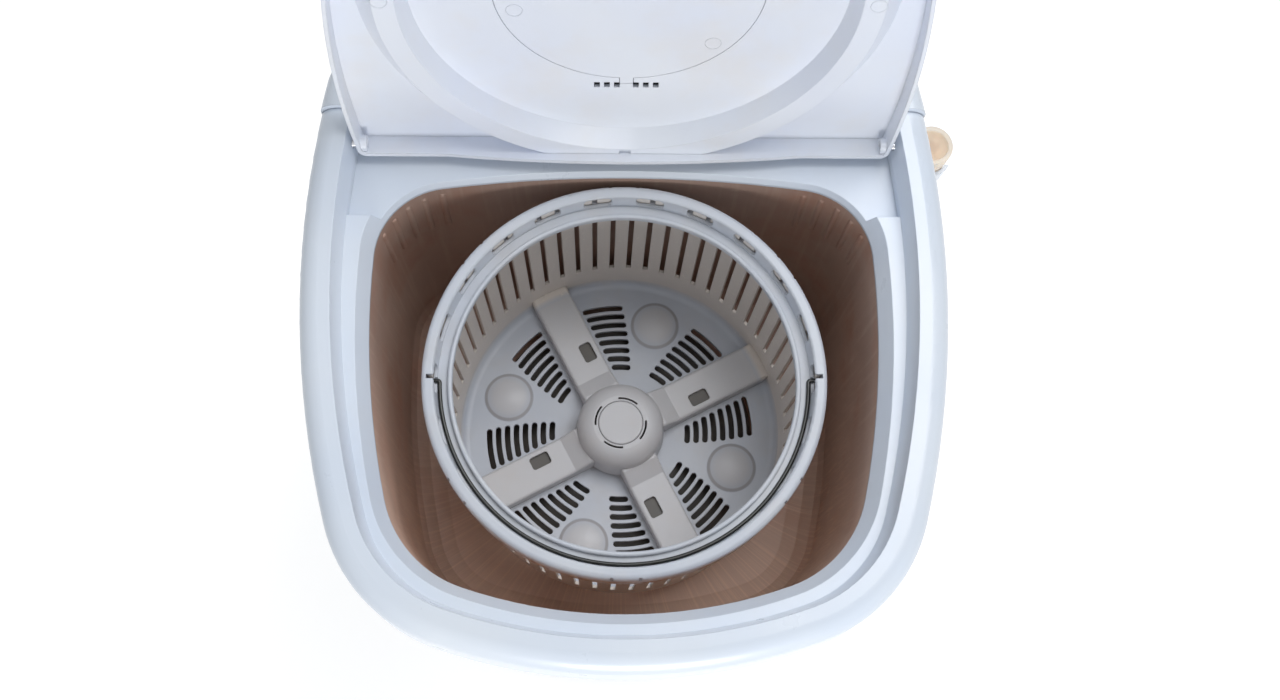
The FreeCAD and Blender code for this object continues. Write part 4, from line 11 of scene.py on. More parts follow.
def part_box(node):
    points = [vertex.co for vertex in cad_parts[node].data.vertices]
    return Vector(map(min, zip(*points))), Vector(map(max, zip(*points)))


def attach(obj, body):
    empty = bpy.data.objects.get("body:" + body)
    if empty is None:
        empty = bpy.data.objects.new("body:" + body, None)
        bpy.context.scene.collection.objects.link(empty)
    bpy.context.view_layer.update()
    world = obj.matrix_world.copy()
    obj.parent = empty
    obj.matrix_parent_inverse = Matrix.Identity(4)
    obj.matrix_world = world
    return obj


bl_info = {
    "name": "Mini washing machine looks",
    "version": (1, 0, 0),
    "blender": (4, 5, 0),
    "location": "View3D > Sidebar > Washer",
    "description": "Finishes, dial print, moulding marks and studio of a small top-loading washer",
    "category": "Object",
}

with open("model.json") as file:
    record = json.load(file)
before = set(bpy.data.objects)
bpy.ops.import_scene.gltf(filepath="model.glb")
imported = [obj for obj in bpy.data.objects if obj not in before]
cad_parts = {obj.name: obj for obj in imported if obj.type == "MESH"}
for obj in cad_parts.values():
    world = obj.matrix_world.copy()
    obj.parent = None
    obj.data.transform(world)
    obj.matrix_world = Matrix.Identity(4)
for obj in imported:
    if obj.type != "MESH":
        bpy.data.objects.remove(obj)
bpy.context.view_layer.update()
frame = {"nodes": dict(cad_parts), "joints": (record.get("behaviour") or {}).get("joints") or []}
NODES = frame["nodes"]
JOINTS = {joint["name"]: joint for joint in frame["joints"]}

# Places on the solids, in metres. Heights count from the floor and radii from the basket's axis.
# The lid's places are those of the shut lid.
LID_MIDDLE = 0.012  # middle of the lid's dish, behind the basket's axis
LID_TOP = 0.517
HOLE_SHADE_LIFT = 0.0003  # height above the lid's top of the painted shade under the disc's rim
LID_MARKS = (  # radius, height and angles of the marks in the moat and on the disc
    (0.1385, 0.5015, (0, 180, 240, 300)),
    (0.068, 0.5145, (43, 163, 283)),
)
BASKET_FLOOR = 0.324
ARM_FOOT = BASKET_FLOOR + 0.0007
WALL_FOOT = 0.1115  # inner radius of the basket's wall at its floor
WALL_SLOPE = 0.0489  # growth of that radius with height
RING_MARGIN = 0.006  # fade of the ring's brown at the ring's two edges

# Masks, each from where it starts to where it is full: by radius, by height, by distance from a
# height, or by place to the right or to the rear.
HOLE_SHADE_EDGE = (0.0002, 0.0001)
TUB_LOW = (0.47, 0.36)
TUB_FRONT = (0.03, -0.09)
TUB_LEFT = (0.13, -0.06)
TUB_REAR = (0.06, 0.125)
FLOOR_EDGE = (0.106, 0.103)
ARM_RISE = (BASKET_FLOOR + 0.0005, BASKET_FLOOR + 0.003)
ARM_FOOT_SHADE_EDGE = (0.0007, 0.0003)
WALL_EDGE = (0.1045, 0.1085)
WALL_RISE = (BASKET_FLOOR + 0.002, BASKET_FLOOR + 0.008)
WALL_OUTSIDE = (WALL_FOOT + 0.0016, WALL_FOOT + 0.002)
WALL_HIGH = (BASKET_FLOOR + 0.06, BASKET_FLOOR + 0.13)
RING_OUTSIDE = (0.1226, 0.1238)
RING_FRONT = (-0.045, -0.10)

# How strongly the films, colours, painted light and painted shade under those masks show, from 0
# to 1.
STREAK_AMOUNT = 0.45
FILM_AND_LIGHT_AMOUNT = 0.75
FILM_AND_LIGHT_RIGHT = 0.55  # share of the pale film and painted light that is left at the right
SHADE_AMOUNT = 0.42
ARM_AMOUNT = 0.5
ARM_FOOT_SHADE_AMOUNT = 0.4
WALL_AMOUNT = 0.85
OUTER_WALL_BROWN_AMOUNT = 0.75
HOSE_GLOW = 0.36

TUB_STREAKS = {"Count": 34.0, "Run": 7.0, "Low": 0.52, "High": 0.72}
TUB_SCRATCHES = {"Count": 70.0, "Run": 30.0, "Low": 0.5, "High": 0.8}

# Dials: name, number of ticks, and the ticks that carry a number.
DIALS = (("timer", 16, (3, 6, 12, 15)), ("selector", 3, ()))
DIAL_START = 90  # degrees round from the right, where a pointer is at rest
POINTER_LENGTH, POINTER_MIDDLE = 0.62, 0.5  # in radii of the knob
POINTER_HEIGHT, POINTER_LIFT, POINTER_BEVEL = 2, 0.6, 0.6  # in heights of the print
NUMERAL_GAP, FONT_SIZE = 0.75, 1.4  # in heights of a numeral

# Studio: place, target and side of each lamp, and the place and turns, in degrees, of the camera
# that was fitted to the photo.
KEY_LAMP = ((0.75, 0.75, 2.9), (0, -0.05, 0.45), 1.5)
FILL_LAMP = ((0.2, -2.7, 0.8), (0, 0.15, 0.65), 1.1)
CAMERA_PLACE = (-0.0243, -0.2497, 1.4364)
CAMERA_PITCH, CAMERA_YAW, CAMERA_ROLL = 74.29, 7.18, 6.98
SENSOR_WIDTH = 36  # millimetres
FAR_CLIP = 100
FLOOR_GREY, FLOOR_GLOW = 0.62, 0.62
SKY_TONE = (0.95, 0.98, 1.0, 1)
WHITE = (1, 1, 1, 1)

# Socket kinds, and the numbers of a Mix node's sockets when it mixes colours.
VALUE, COLOUR, VECTOR = "NodeSocketFloat", "NodeSocketColor", "NodeSocketVector"
WHOLE, MATERIAL, GEOMETRY = "NodeSocketInt", "NodeSocketMaterial", "NodeSocketGeometry"
MIX_FACTOR, MIX_FIRST, MIX_SECOND, MIX_RESULT = 0, 6, 7, 2
RAY_SAMPLES = 6  # of the nodes that look round a point


# Settings.


def linear(red, green, blue):
    """A colour written in display values from 0 to 255, as the linear one that Blender keeps."""
    made = []
    for value in (red, green, blue):
        share = value / 255
        made.append(share / 12.92 if share <= 0.04045 else ((share + 0.055) / 1.055) ** 2.4)
    return tuple(made)


def colour(label, about, *values):
    """A colour setting, with its default in display values."""
    return bpy.props.FloatVectorProperty(
        name=label, description=about, subtype="COLOR", size=3, min=0, max=1,
        default=linear(*values))


def length(label, about, value):
    """A length setting, with its default in metres."""
    return bpy.props.FloatProperty(
        name=label, description=about, default=value, min=0, unit="LENGTH", precision=5)


def level(label, about, value, unit="NONE", least=0):
    """A setting for a light or a lens."""
    return bpy.props.FloatProperty(
        name=label, description=about, default=value, min=least, unit=unit)


class WasherColours(bpy.types.PropertyGroup):
    """Base colours of the finishes, and the colours laid over them."""

    body: colour("Body", "Cabinet, frame and console", 222, 229, 238)
    body_shadow: colour("Body tint", "Cooler patches of the body's plastic", 206, 218, 236)
    # Laid where the body's faces meet and the surface is closed in.
    body_dirt: colour("Body dirt", "Dirt in the body's corners", 150, 150, 148)
    lid: colour("Lid", "Lid and its disc", 230, 234, 241)
    lid_tint: colour("Lid tint", "Lavender patches of the lid's plastic", 222, 228, 243)
    # Painted shade: the near-black band under the disc's rim that darkens the lid's square holes.
    seal: colour("Lid seal", "Dark foam under the disc's rim", 20, 21, 23)
    tub: colour("Tub", "Brown wash tub", 204, 175, 160)
    tub_red: colour("Tub stain", "Reddish patches on the tub", 190, 136, 112)
    tub_streak: colour("Tub streak", "Pale streaks on the tub", 222, 198, 181)
    tub_scratch: colour("Tub scratch", "Fine pale lines low at the tub's front", 255, 222, 198)
    # Partly a pale film of lime, partly painted light: the tub paler towards the front and the
    # left.
    tub_haze: colour("Tub haze", "Film of lime at the front of the tub", 255, 221, 200)
    # Painted shade: the tub darker towards the rear.
    tub_shade: colour("Tub shade", "Darker film in the rear of the tub", 116, 90, 80)
    # Laid where the tub's faces meet and the surface is closed in.
    tub_dirt: colour("Tub dirt", "Dirt in the tub's corners", 96, 74, 62)
    basket: colour("Basket", "Spin basket", 195, 200, 209)
    basket_blue: colour("Basket tint", "Cooler patches of the basket", 185, 192, 205)
    basket_raised: colour("Basket arms", "Warmer arms, hub and bumps of the basket", 208, 204, 202)
    basket_warm: colour("Basket wall", "Warmer wall of the basket", 230, 221, 212)
    wall_speck: colour("Wall specks", "Pale specks on the basket's wall", 236, 230, 220)
    ring: colour("Ring", "Ring on the basket's upper edge", 203, 207, 214)
    # Brown laid in patches round the outside of the ring's lower edge at the front.
    rust: colour("Rust", "Stain round the ring's lower edge", 156, 122, 99)
    # Pale specks in the ring's brown.
    rust_chip: colour("Rust chips", "Pale chips in the ring's rust", 226, 214, 190)
    # Brown laid in patches on the upper part of the outside of the basket's wall.
    old_dirt: colour("Old dirt", "Brown film on the outside of the basket's wall", 150, 116, 94)
    # Laid where the basket's faces meet and the surface is closed in, and as painted shade round
    # the foot of its arms, hub and bumps.
    grime: colour("Grime", "Dirt in the basket's corners", 118, 98, 80)
    # Laid where the pulsator's faces meet and the surface is closed in.
    pulsator_dirt: colour("Pulsator dirt", "Dirt in the pulsator's corners", 40, 34, 30)
    wire: colour("Wire", "Coating of the bail", 18, 19, 18)
    hose: colour("Hose", "Ribbed drain hose", 240, 222, 203)
    # Laid between the hose's ribs, where the surface is closed in.
    hose_dirt: colour("Hose dirt", "Dirt between the hose's ribs", 176, 152, 126)
    hose_glow: colour("Hose glow", "Light through the hose's wall", 244, 236, 228)
    panel: colour("Panel", "Control panel", 150, 163, 178)
    # Laid where the knobs' faces meet and the surface is closed in.
    knob_dirt: colour("Knob dirt", "Dirt in the knobs' corners", 140, 138, 132)
    print_ink: colour("Print", "Scale round the dials", 244, 246, 248)


class WasherSizes(bpy.types.PropertyGroup):
    """Sizes of the small details."""

    tick_length: length("Tick length", "Length of a tick of the scale", 0.0026)
    tick_width: length("Tick width", "Width of a tick of the scale", 0.0005)
    tick_gap: length("Tick gap", "Knob's edge to the ticks", 0.0012)
    print_height: length("Print height", "Thickness of the printed scale", 0.00012)
    numeral_height: length("Numeral height", "Height of the scale's numerals", 0.0036)
    pointer_width: length("Pointer width", "Width of a knob's pointer line", 0.0012)
    pin_mark_radius: length("Pin mark radius", "Radius of an ejector mark below the lid", 0.0047)
    pin_mark_line: length("Pin mark line", "Half the width of the line of such a mark", 0.00022)
    edge_radius: length("Edge softness", "Softened edge of the moulded pieces", 0.0009)


class WasherStage(bpy.types.PropertyGroup):
    """Floor, light and camera."""

    floor_width: length("Floor width", "Side of the square floor", 12.0)
    key_power: level("Key light", "Power of the soft lamp above", 36, "POWER")
    fill_power: level("Fill light", "Power of the soft lamp in front", 46, "POWER")
    sky_strength: level("Sky", "Level of the even light from all sides", 0.42)
    lens: level("Lens", "Focal length of the camera", 45.17, "CAMERA", least=1)


def colours():
    """The colour settings."""
    return bpy.context.scene.washer_colours


def sizes():
    """The settings for the small details."""
    return bpy.context.scene.washer_sizes


# Finishes. Base, tint and stain are colour settings by name, or display values; a stain that isn't
# given is the base at half its level. The rest is what moulded() takes.
LID_PLASTIC = dict(
    base="lid", tint="lid_tint", stain=(226, 219, 210), scale=7.5, tinted=0.7, stained=0.35,
    roughness=0.34, wander=0.14, coat=0.15)
METAL = dict(
    scale=30.0, tinted=0.6, stained=0.18, wander=0.16, grain=1400.0, relief=0.05, edge=0.0004,
    metallic=1.0)
FINISHES = {
    "glossy_body_plastic": dict(
        base="body", tint="body_shadow", stain=(214, 205, 190), scale=6.0, tinted=0.55,
        stained=0.10, roughness=0.30, wander=0.16, coat=0.25, coat_roughness=0.18),
    "foot_rubber": dict(
        base=(44, 44, 45), tint=(58, 57, 55), stain=(92, 88, 82), scale=40.0, stained=0.3,
        roughness=0.72, grain=1500.0, relief=0.12),
    "glossy_lid_plastic": LID_PLASTIC,
    "lid_disc_plastic": LID_PLASTIC,
    "brown_tub_plastic": dict(
        base="tub", tint=(184, 156, 141), stain="tub_red", scale=8.0, tinted=0.6, stained=0.75,
        roughness=0.46, wander=0.2, grain=420.0, relief=0.10),
    "satin_basket_plastic": dict(
        base="basket", tint="basket_blue", stain=(190, 178, 166), scale=14.0, tinted=0.6,
        stained=0.25, roughness=0.42, wander=0.18, grain=420.0, relief=0.10, edge=0.0009),
    "basket_ring_plastic": dict(
        base="ring", tint="basket_blue", stain=(196, 184, 172), scale=14.0, tinted=0.5,
        stained=0.2, roughness=0.38, wander=0.16, grain=420.0, relief=0.08, edge=0.0009),
    "grey_pulsator_plastic": dict(
        base=(80, 77, 73), tint=(66, 63, 60), stain=(128, 112, 98), scale=16.0, stained=0.3,
        roughness=0.45),
    "black_coated_wire": dict(
        base="wire", tint=(34, 38, 33), stain=(70, 68, 60), scale=60.0, tinted=0.5, stained=0.12,
        roughness=0.34, wander=0.15, grain=900.0, relief=0.05, edge=0.0002, coat=0.2),
    "printed_panel": dict(
        base="panel", tint=(138, 152, 170), stain=(170, 176, 180), scale=20.0, tinted=0.4,
        stained=0.12, roughness=0.28, grain=1600.0, relief=0.05, edge=0.0004, coat=0.3),
    "knob_plastic": dict(
        base=(226, 231, 238), tint=(212, 220, 234), stain=(190, 182, 170), scale=30.0, tinted=0.4,
        stained=0.15, roughness=0.26),
    "switch_case_plastic": dict(
        base=(214, 212, 202), tint=(202, 199, 188), stain=(160, 150, 130), scale=30.0,
        roughness=0.5),
    "white_print": dict(
        base="print_ink", tint=(232, 236, 240), stain=(206, 208, 210), scale=80.0, roughness=0.4,
        edge=0.0001),
    "pointer_print": dict(
        base=(58, 76, 98), tint=(48, 64, 84), stain=(90, 96, 104), scale=80.0, roughness=0.35,
        edge=0.0001),
    "motor_paint": dict(
        base=(150, 153, 156), tint=(136, 140, 144), stain=(112, 92, 72), scale=26.0, stained=0.25,
        roughness=0.42, grain=1100.0, relief=0.08),
    "cast_alloy": METAL | dict(
        base=(196, 197, 198), tint=(176, 178, 180), roughness=0.5, grain=600.0, relief=0.14),
    "turned_steel": METAL | dict(
        base=(200, 202, 205), tint=(184, 186, 190), roughness=0.28),
    "zinc_plate": METAL | dict(
        base=(206, 205, 200), tint=(188, 190, 182), roughness=0.36),
    "oiled_bronze": METAL | dict(
        base=(190, 150, 98), tint=(168, 128, 82), roughness=0.4),
    "pulley_black": dict(
        base=(56, 56, 58), tint=(68, 68, 70), stain=(92, 88, 84), scale=30.0, roughness=0.5),
    "capacitor_plastic": dict(
        base=(208, 209, 210), tint=(196, 198, 200), stain=(170, 164, 156), scale=30.0,
        roughness=0.4),
    "beige_hose_plastic": dict(
        base="hose", tint=(230, 211, 190), stain=(196, 172, 146), scale=24.0, stained=0.25,
        roughness=0.45, grain=900.0, relief=0.06),
    "outlet_plastic": dict(
        base=(206, 208, 210), tint=(192, 196, 200), stain=(160, 150, 140), scale=24.0,
        roughness=0.4),
}


# Node building.


def add(tree, kind, inputs=None, **settings):
    """A new node with its settings, and with inputs given as values or as sockets to link."""
    made = tree.nodes.new(kind)
    for key, value in settings.items():
        setattr(made, key, value)
    for key, value in (inputs or {}).items():
        if isinstance(value, bpy.types.NodeSocket):
            tree.links.new(value, made.inputs[key])
        else:
            made.inputs[key].default_value = value
    return made


def calculate(tree, operation, *values):
    """The result of a sum with values or sockets."""
    return add(tree, "ShaderNodeMath", dict(enumerate(values)), operation=operation).outputs[0]


def product(tree, *masks):
    """All masks and amounts multiplied together."""
    made = masks[0]
    for mask in masks[1:]:
        made = calculate(tree, "MULTIPLY", made, mask)
    return made


def ramp(tree, value, start, end, floor=0.0, ceiling=1.0):
    """Goes from floor, where the value is at start, to ceiling, where it is at end."""
    return add(tree, "ShaderNodeMapRange", {
        "Value": value, "From Min": start, "From Max": end, "To Min": floor,
        "To Max": ceiling}).outputs[0]


def blend(tree, amount, first, second):
    """A mix of two colours."""
    inputs = {MIX_FACTOR: amount, MIX_FIRST: first, MIX_SECOND: second}
    return add(tree, "ShaderNodeMix", inputs, data_type="RGBA").outputs[MIX_RESULT]


def object_point(tree):
    """The point on the piece, which is also the point in the part's frame."""
    return add(tree, "ShaderNodeTexCoord").outputs["Object"]


def noise_mask(tree, scale, start, end):
    """Patches of a noise."""
    noise = add(tree, "ShaderNodeTexNoise", {
        "Vector": object_point(tree), "Scale": scale, "Detail": 4.0})
    return ramp(tree, noise.outputs["Fac"], start, end)


def new_tree(name, kind, inputs, outputs):
    """An empty node tree with its sockets, and the sockets of its two end nodes."""
    tree = bpy.data.node_groups.new(name, kind)
    for label, socket_kind, value in inputs:
        socket = tree.interface.new_socket(label, in_out="INPUT", socket_type=socket_kind)
        if value is not None:
            socket.default_value = value
    for label, socket_kind in outputs:
        tree.interface.new_socket(label, in_out="OUTPUT", socket_type=socket_kind)
    given = tree.nodes.new("NodeGroupInput").outputs
    return tree, given, tree.nodes.new("NodeGroupOutput").inputs


def shader_group(name, inputs, outputs):
    """An empty shader group."""
    return new_tree(name, "ShaderNodeTree", inputs, outputs)


def make_mottle_group():
    """Soft patches of a tint and of a stain over a base colour."""
    tree, given, made = shader_group("Colour Mottle", [
        ("Colour", COLOUR, (0.8, 0.8, 0.8, 1)), ("Tint", COLOUR, (0.7, 0.7, 0.7, 1)),
        ("Stain", COLOUR, (0.5, 0.4, 0.3, 1)), ("Scale", VALUE, 9.0), ("Tint Amount", VALUE, 0.5),
        ("Stain Amount", VALUE, 0.2)], [("Colour", COLOUR)])
    point = object_point(tree)
    broad = add(tree, "ShaderNodeTexNoise", {
        "Vector": point, "Scale": given["Scale"], "Detail": 3.0, "Roughness": 0.55})
    patches = ramp(tree, broad.outputs["Fac"], start=0.36, end=0.66)
    tint = product(tree, patches, given["Tint Amount"])
    moved = add(tree, "ShaderNodeMapping", {"Vector": point, "Location": (3.1, 1.7, 5.3)})
    finer = calculate(tree, "MULTIPLY", given["Scale"], 2.3)
    spots = add(tree, "ShaderNodeTexNoise", {
        "Vector": moved.outputs[0], "Scale": finer, "Detail": 4.0, "Roughness": 0.6})
    stained = ramp(tree, spots.outputs["Fac"], start=0.5, end=0.78)
    stain = product(tree, stained, given["Stain Amount"])
    tinted = blend(tree, tint, given["Colour"], given["Tint"])
    tree.links.new(blend(tree, stain, tinted, given["Stain"]), made["Colour"])
    return tree


def make_surface_group():
    """Softened edges with a fine moulded grain."""
    tree, given, made = shader_group("Moulded Surface", [
        ("Grain Scale", VALUE, 900.0), ("Grain Strength", VALUE, 0.05),
        ("Edge Radius", VALUE, 0.0008)], [("Normal", VECTOR)])
    edge = add(tree, "ShaderNodeBevel", {"Radius": given["Edge Radius"]}, samples=RAY_SAMPLES)
    point = object_point(tree)
    grain = add(tree, "ShaderNodeTexNoise", {
        "Vector": point, "Scale": given["Grain Scale"], "Detail": 2.0})
    bump = add(tree, "ShaderNodeBump", {
        "Strength": given["Grain Strength"], "Distance": 0.0004, "Height": grain.outputs["Fac"],
        "Normal": edge.outputs[0]})
    tree.links.new(bump.outputs[0], made["Normal"])
    return tree


def make_gloss_group():
    """Roughness that wanders round a middle value, with faint rubbed patches."""
    tree, given, made = shader_group("Gloss Variation", [
        ("Roughness", VALUE, 0.35), ("Spread", VALUE, 0.1), ("Scale", VALUE, 25.0)],
        [("Roughness", VALUE)])
    point = object_point(tree)
    noise = add(tree, "ShaderNodeTexNoise", {
        "Vector": point, "Scale": given["Scale"], "Detail": 5.0, "Roughness": 0.65})
    centred = calculate(tree, "SUBTRACT", noise.outputs["Fac"], 0.5)
    offset = product(tree, centred, given["Spread"])
    tree.links.new(calculate(tree, "ADD", given["Roughness"], offset), made["Roughness"])
    return tree


def make_streak_group():
    """Streaks that run down a wall, or outwards over a floor, round the basket's axis."""
    tree, given, made = shader_group("Wall Streaks", [
        ("Count", VALUE, 60.0), ("Run", VALUE, 5.0), ("Low", VALUE, 0.5), ("High", VALUE, 0.7)],
        [("Mask", VALUE)])
    parts = add(tree, "ShaderNodeSeparateXYZ", {0: object_point(tree)}).outputs
    turn = calculate(tree, "ARCTAN2", parts["Y"], parts["X"])
    along = product(tree, turn, given["Count"])
    down = product(tree, parts["Z"], given["Run"])
    flat = add(tree, "ShaderNodeCombineXYZ", {0: along, 1: down})
    noise = add(tree, "ShaderNodeTexNoise", {
        "Vector": flat.outputs[0], "Scale": 1.0, "Detail": 3.0, "Roughness": 0.6})
    streaks = ramp(tree, noise.outputs["Fac"], given["Low"], given["High"])
    tree.links.new(streaks, made["Mask"])
    return tree


def make_corner_group():
    """A darker colour where faces meet and the surface is closed in, broken up by a noise."""
    tree, given, made = shader_group("Corner Dirt", [
        ("Reach", VALUE, 0.006), ("Scale", VALUE, 90.0), ("Amount", VALUE, 0.5)],
        [("Mask", VALUE)])
    hollow = add(tree, "ShaderNodeAmbientOcclusion", {"Distance": given["Reach"]},
                 samples=RAY_SAMPLES, only_local=True)
    closed = ramp(tree, hollow.outputs["AO"], start=0.62, end=0.2)
    patches = noise_mask(tree, given["Scale"], start=0.3, end=0.62)
    tree.links.new(product(tree, closed, patches, given["Amount"]), made["Mask"])
    return tree


def make_place_group():
    """Distance from the basket's axis, height, and places to the right and to the rear."""
    tree, _, made = shader_group("Round Place", [], [
        ("Radius", VALUE), ("Height", VALUE), ("Across", VALUE), ("Back", VALUE)])
    point = object_point(tree)
    parts = add(tree, "ShaderNodeSeparateXYZ", {0: point}).outputs
    level_point = add(tree, "ShaderNodeVectorMath", {0: point, 1: (1, 1, 0)}, operation="MULTIPLY")
    radius = add(tree, "ShaderNodeVectorMath", {0: level_point.outputs[0]}, operation="LENGTH")
    tree.links.new(radius.outputs["Value"], made["Radius"])
    for axis, label in (("Z", "Height"), ("X", "Across"), ("Y", "Back")):
        tree.links.new(parts[axis], made[label])
    return tree


GROUP_MAKERS = {
    "Colour Mottle": make_mottle_group,
    "Moulded Surface": make_surface_group,
    "Gloss Variation": make_gloss_group,
    "Wall Streaks": make_streak_group,
    "Corner Dirt": make_corner_group,
    "Round Place": make_place_group,
}


def group(tree, name, inputs=None):
    """A node of one of the groups, which is made at its first use."""
    made = tree.nodes.new("ShaderNodeGroup")
    made.node_tree = bpy.data.node_groups.get(name) or GROUP_MAKERS[name]()
    for key, value in (inputs or {}).items():
        made.inputs[key].default_value = value
    return made


def bare_tree(owner):
    """The emptied node tree of a material or a world."""
    owner.use_nodes = True
    owner.node_tree.nodes.clear()
    return owner.node_tree


def rgba(value):
    """A colour with its alpha."""
    return (*value, 1.0)


def tone(value):
    """A colour by the name of its setting, or by display values."""
    return tuple(getattr(colours(), value)) if isinstance(value, str) else linear(*value)


def moulded(name, base, tint, stain=None, scale=9.0, tinted=0.5, stained=0.08, roughness=0.35,
            wander=0.12, grain=700.0, relief=0.04, edge=None, coat=0.0, coat_roughness=0.03,
            metallic=0.0):
    """A material with soft colour patches, wandering gloss, fine grain and soft edges."""
    finish = bpy.data.materials.new(name)
    tree = bare_tree(finish)
    shader = tree.nodes.new("ShaderNodeBsdfPrincipled")
    tree.links.new(shader.outputs[0], tree.nodes.new("ShaderNodeOutputMaterial").inputs[0])
    half_base = tuple(0.5 * value for value in tone(base))
    mottle = group(tree, "Colour Mottle", {
        "Colour": rgba(tone(base)), "Tint": rgba(tone(tint)),
        "Stain": rgba(half_base if stain is None else tone(stain)),
        "Scale": scale, "Tint Amount": tinted, "Stain Amount": stained})
    gloss = group(tree, "Gloss Variation", {"Roughness": roughness, "Spread": wander})
    surface = group(tree, "Moulded Surface", {
        "Grain Scale": grain, "Grain Strength": relief,
        "Edge Radius": sizes().edge_radius if edge is None else edge})
    tree.links.new(mottle.outputs[0], shader.inputs["Base Color"])
    tree.links.new(gloss.outputs[0], shader.inputs["Roughness"])
    tree.links.new(surface.outputs[0], shader.inputs["Normal"])
    shader.inputs["Metallic"].default_value = metallic
    shader.inputs["Coat Weight"].default_value = coat
    shader.inputs["Coat Roughness"].default_value = coat_roughness
    return finish, tree, shader


def finish_of(name):
    """A finish as the table has it, with its tree and its shader."""
    return moulded(name, **FINISHES[name])


def over(tree, shader, value, *masks):
    """Lays a colour over the shader's colour so far, where all the masks have it."""
    mask = product(tree, *masks)
    source = shader.inputs["Base Color"].links[0].from_socket
    tree.links.new(blend(tree, mask, source, rgba(value)), shader.inputs["Base Color"])


def dirtied(tree, shader, dirt, reach, scale, amount):
    """Lays a darker colour over the shader's colour where faces meet and the surface is closed in.
    """
    corners = group(tree, "Corner Dirt", {"Reach": reach, "Scale": scale, "Amount": amount})
    over(tree, shader, dirt, corners.outputs[0])


def dress(finish, *names):
    """Gives nodes a finish."""
    for name in names:
        slots = NODES[name].data.materials
        slots.clear()
        slots.append(finish)


def plain(name, *nodes):
    """Gives nodes a finish with no more to it than the table has."""
    dress(finish_of(name)[0], *nodes)


# Mesh pieces.


def mesh_piece(name, mesh, finish, body):
    """A new object at the origin that moves with a body."""
    piece = bpy.data.objects.new(name, mesh)
    bpy.context.scene.collection.objects.link(piece)
    mesh.materials.clear()
    mesh.materials.append(finish)
    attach(piece, body)
    return piece


def shaped(name, shape):
    """A mesh with a bmesh's shape, which is freed."""
    mesh = bpy.data.meshes.new(name)
    shape.to_mesh(mesh)
    shape.free()
    return mesh


def settled(holder):
    """The plain mesh of an object with its modifiers or its text, in place of the object."""
    found = holder.evaluated_get(bpy.context.evaluated_depsgraph_get())
    mesh = bpy.data.meshes.new_from_object(found)
    holder.modifiers.clear()
    bpy.data.objects.remove(holder)
    return mesh


def grown(name, tree, values, seed=None):
    """The plain mesh that a geometry tree makes with these values."""
    holder = bpy.data.objects.new(name + "_holder", seed or bpy.data.meshes.new(name + "_seed"))
    bpy.context.scene.collection.objects.link(holder)
    modifier = holder.modifiers.new(name, "NODES")
    modifier.node_group = tree
    for item in tree.interface.items_tree:
        if item.in_out == "INPUT" and item.name in values:
            modifier[item.identifier] = values[item.name]
    mesh = settled(holder)
    mesh.name = name
    if not mesh.polygons:
        raise RuntimeError(f"{name} came out empty")
    return mesh


def geometry_tree(name, inputs):
    """An empty geometry tree with named inputs, and its output socket."""
    tree, given, made = new_tree(
        name, "GeometryNodeTree", [("Geometry", GEOMETRY, None), *inputs],
        [("Geometry", GEOMETRY)])
    return tree, given, made[0]


def finish_tree(tree, geometry, finish, out):
    """Real geometry with its finish, at the end of a tree."""
    real = add(tree, "GeometryNodeRealizeInstances", {0: geometry})
    painted = add(tree, "GeometryNodeSetMaterial", {
        "Geometry": real.outputs[0], "Material": finish})
    tree.links.new(painted.outputs[0], out)


def make_tick_tree():
    """Ticks of a dial's scale, laid out on an arc wherever the panel has room for them."""
    tree, given, out = geometry_tree("Dial Ticks", [
        ("Count", WHOLE, 13), ("Radius", VALUE, 0.016), ("First", VALUE, 0.0),
        ("Last", VALUE, 5.2), ("Length", VALUE, 0.0026), ("Width", VALUE, 0.0005),
        ("Height", VALUE, 0.0002), ("Room", VALUE, 0.014), ("Centre", VECTOR, (0, 0, 0)),
        ("Finish", MATERIAL, None)])
    points = add(tree, "GeometryNodePoints", {"Count": given["Count"]})
    index = add(tree, "GeometryNodeInputIndex").outputs[0]
    steps = calculate(tree, "SUBTRACT", given["Count"], 1.0)
    part = calculate(tree, "DIVIDE", index, steps)
    sweep = calculate(tree, "SUBTRACT", given["Last"], given["First"])
    turn = calculate(tree, "ADD", given["First"], product(tree, part, sweep))
    reach = calculate(tree, "ADD", given["Radius"], product(tree, given["Length"], 0.5))
    place = add(tree, "ShaderNodeCombineXYZ", {
        0: product(tree, calculate(tree, "COSINE", turn), reach),
        1: product(tree, calculate(tree, "SINE", turn), reach)})
    moved = add(tree, "ShaderNodeVectorMath", {0: place.outputs[0], 1: given["Centre"]},
                operation="ADD")
    set_place = add(tree, "GeometryNodeSetPosition", {
        "Geometry": points.outputs[0], "Position": moved.outputs[0]})
    size = add(tree, "ShaderNodeCombineXYZ", {
        0: given["Length"], 1: given["Width"], 2: given["Height"]})
    tick = add(tree, "GeometryNodeMeshCube", {"Size": size.outputs[0]})
    spin = add(tree, "ShaderNodeCombineXYZ", {2: turn})
    end = calculate(tree, "ADD", given["Radius"], given["Length"])
    back = product(tree, calculate(tree, "SINE", turn), end)
    fits = calculate(tree, "LESS_THAN", calculate(tree, "ABSOLUTE", back), given["Room"])
    laid = add(tree, "GeometryNodeInstanceOnPoints", {
        "Points": set_place.outputs[0], "Selection": fits, "Instance": tick.outputs[0],
        "Rotation": spin.outputs[0]})
    finish_tree(tree, laid.outputs[0], given["Finish"], out)
    return tree


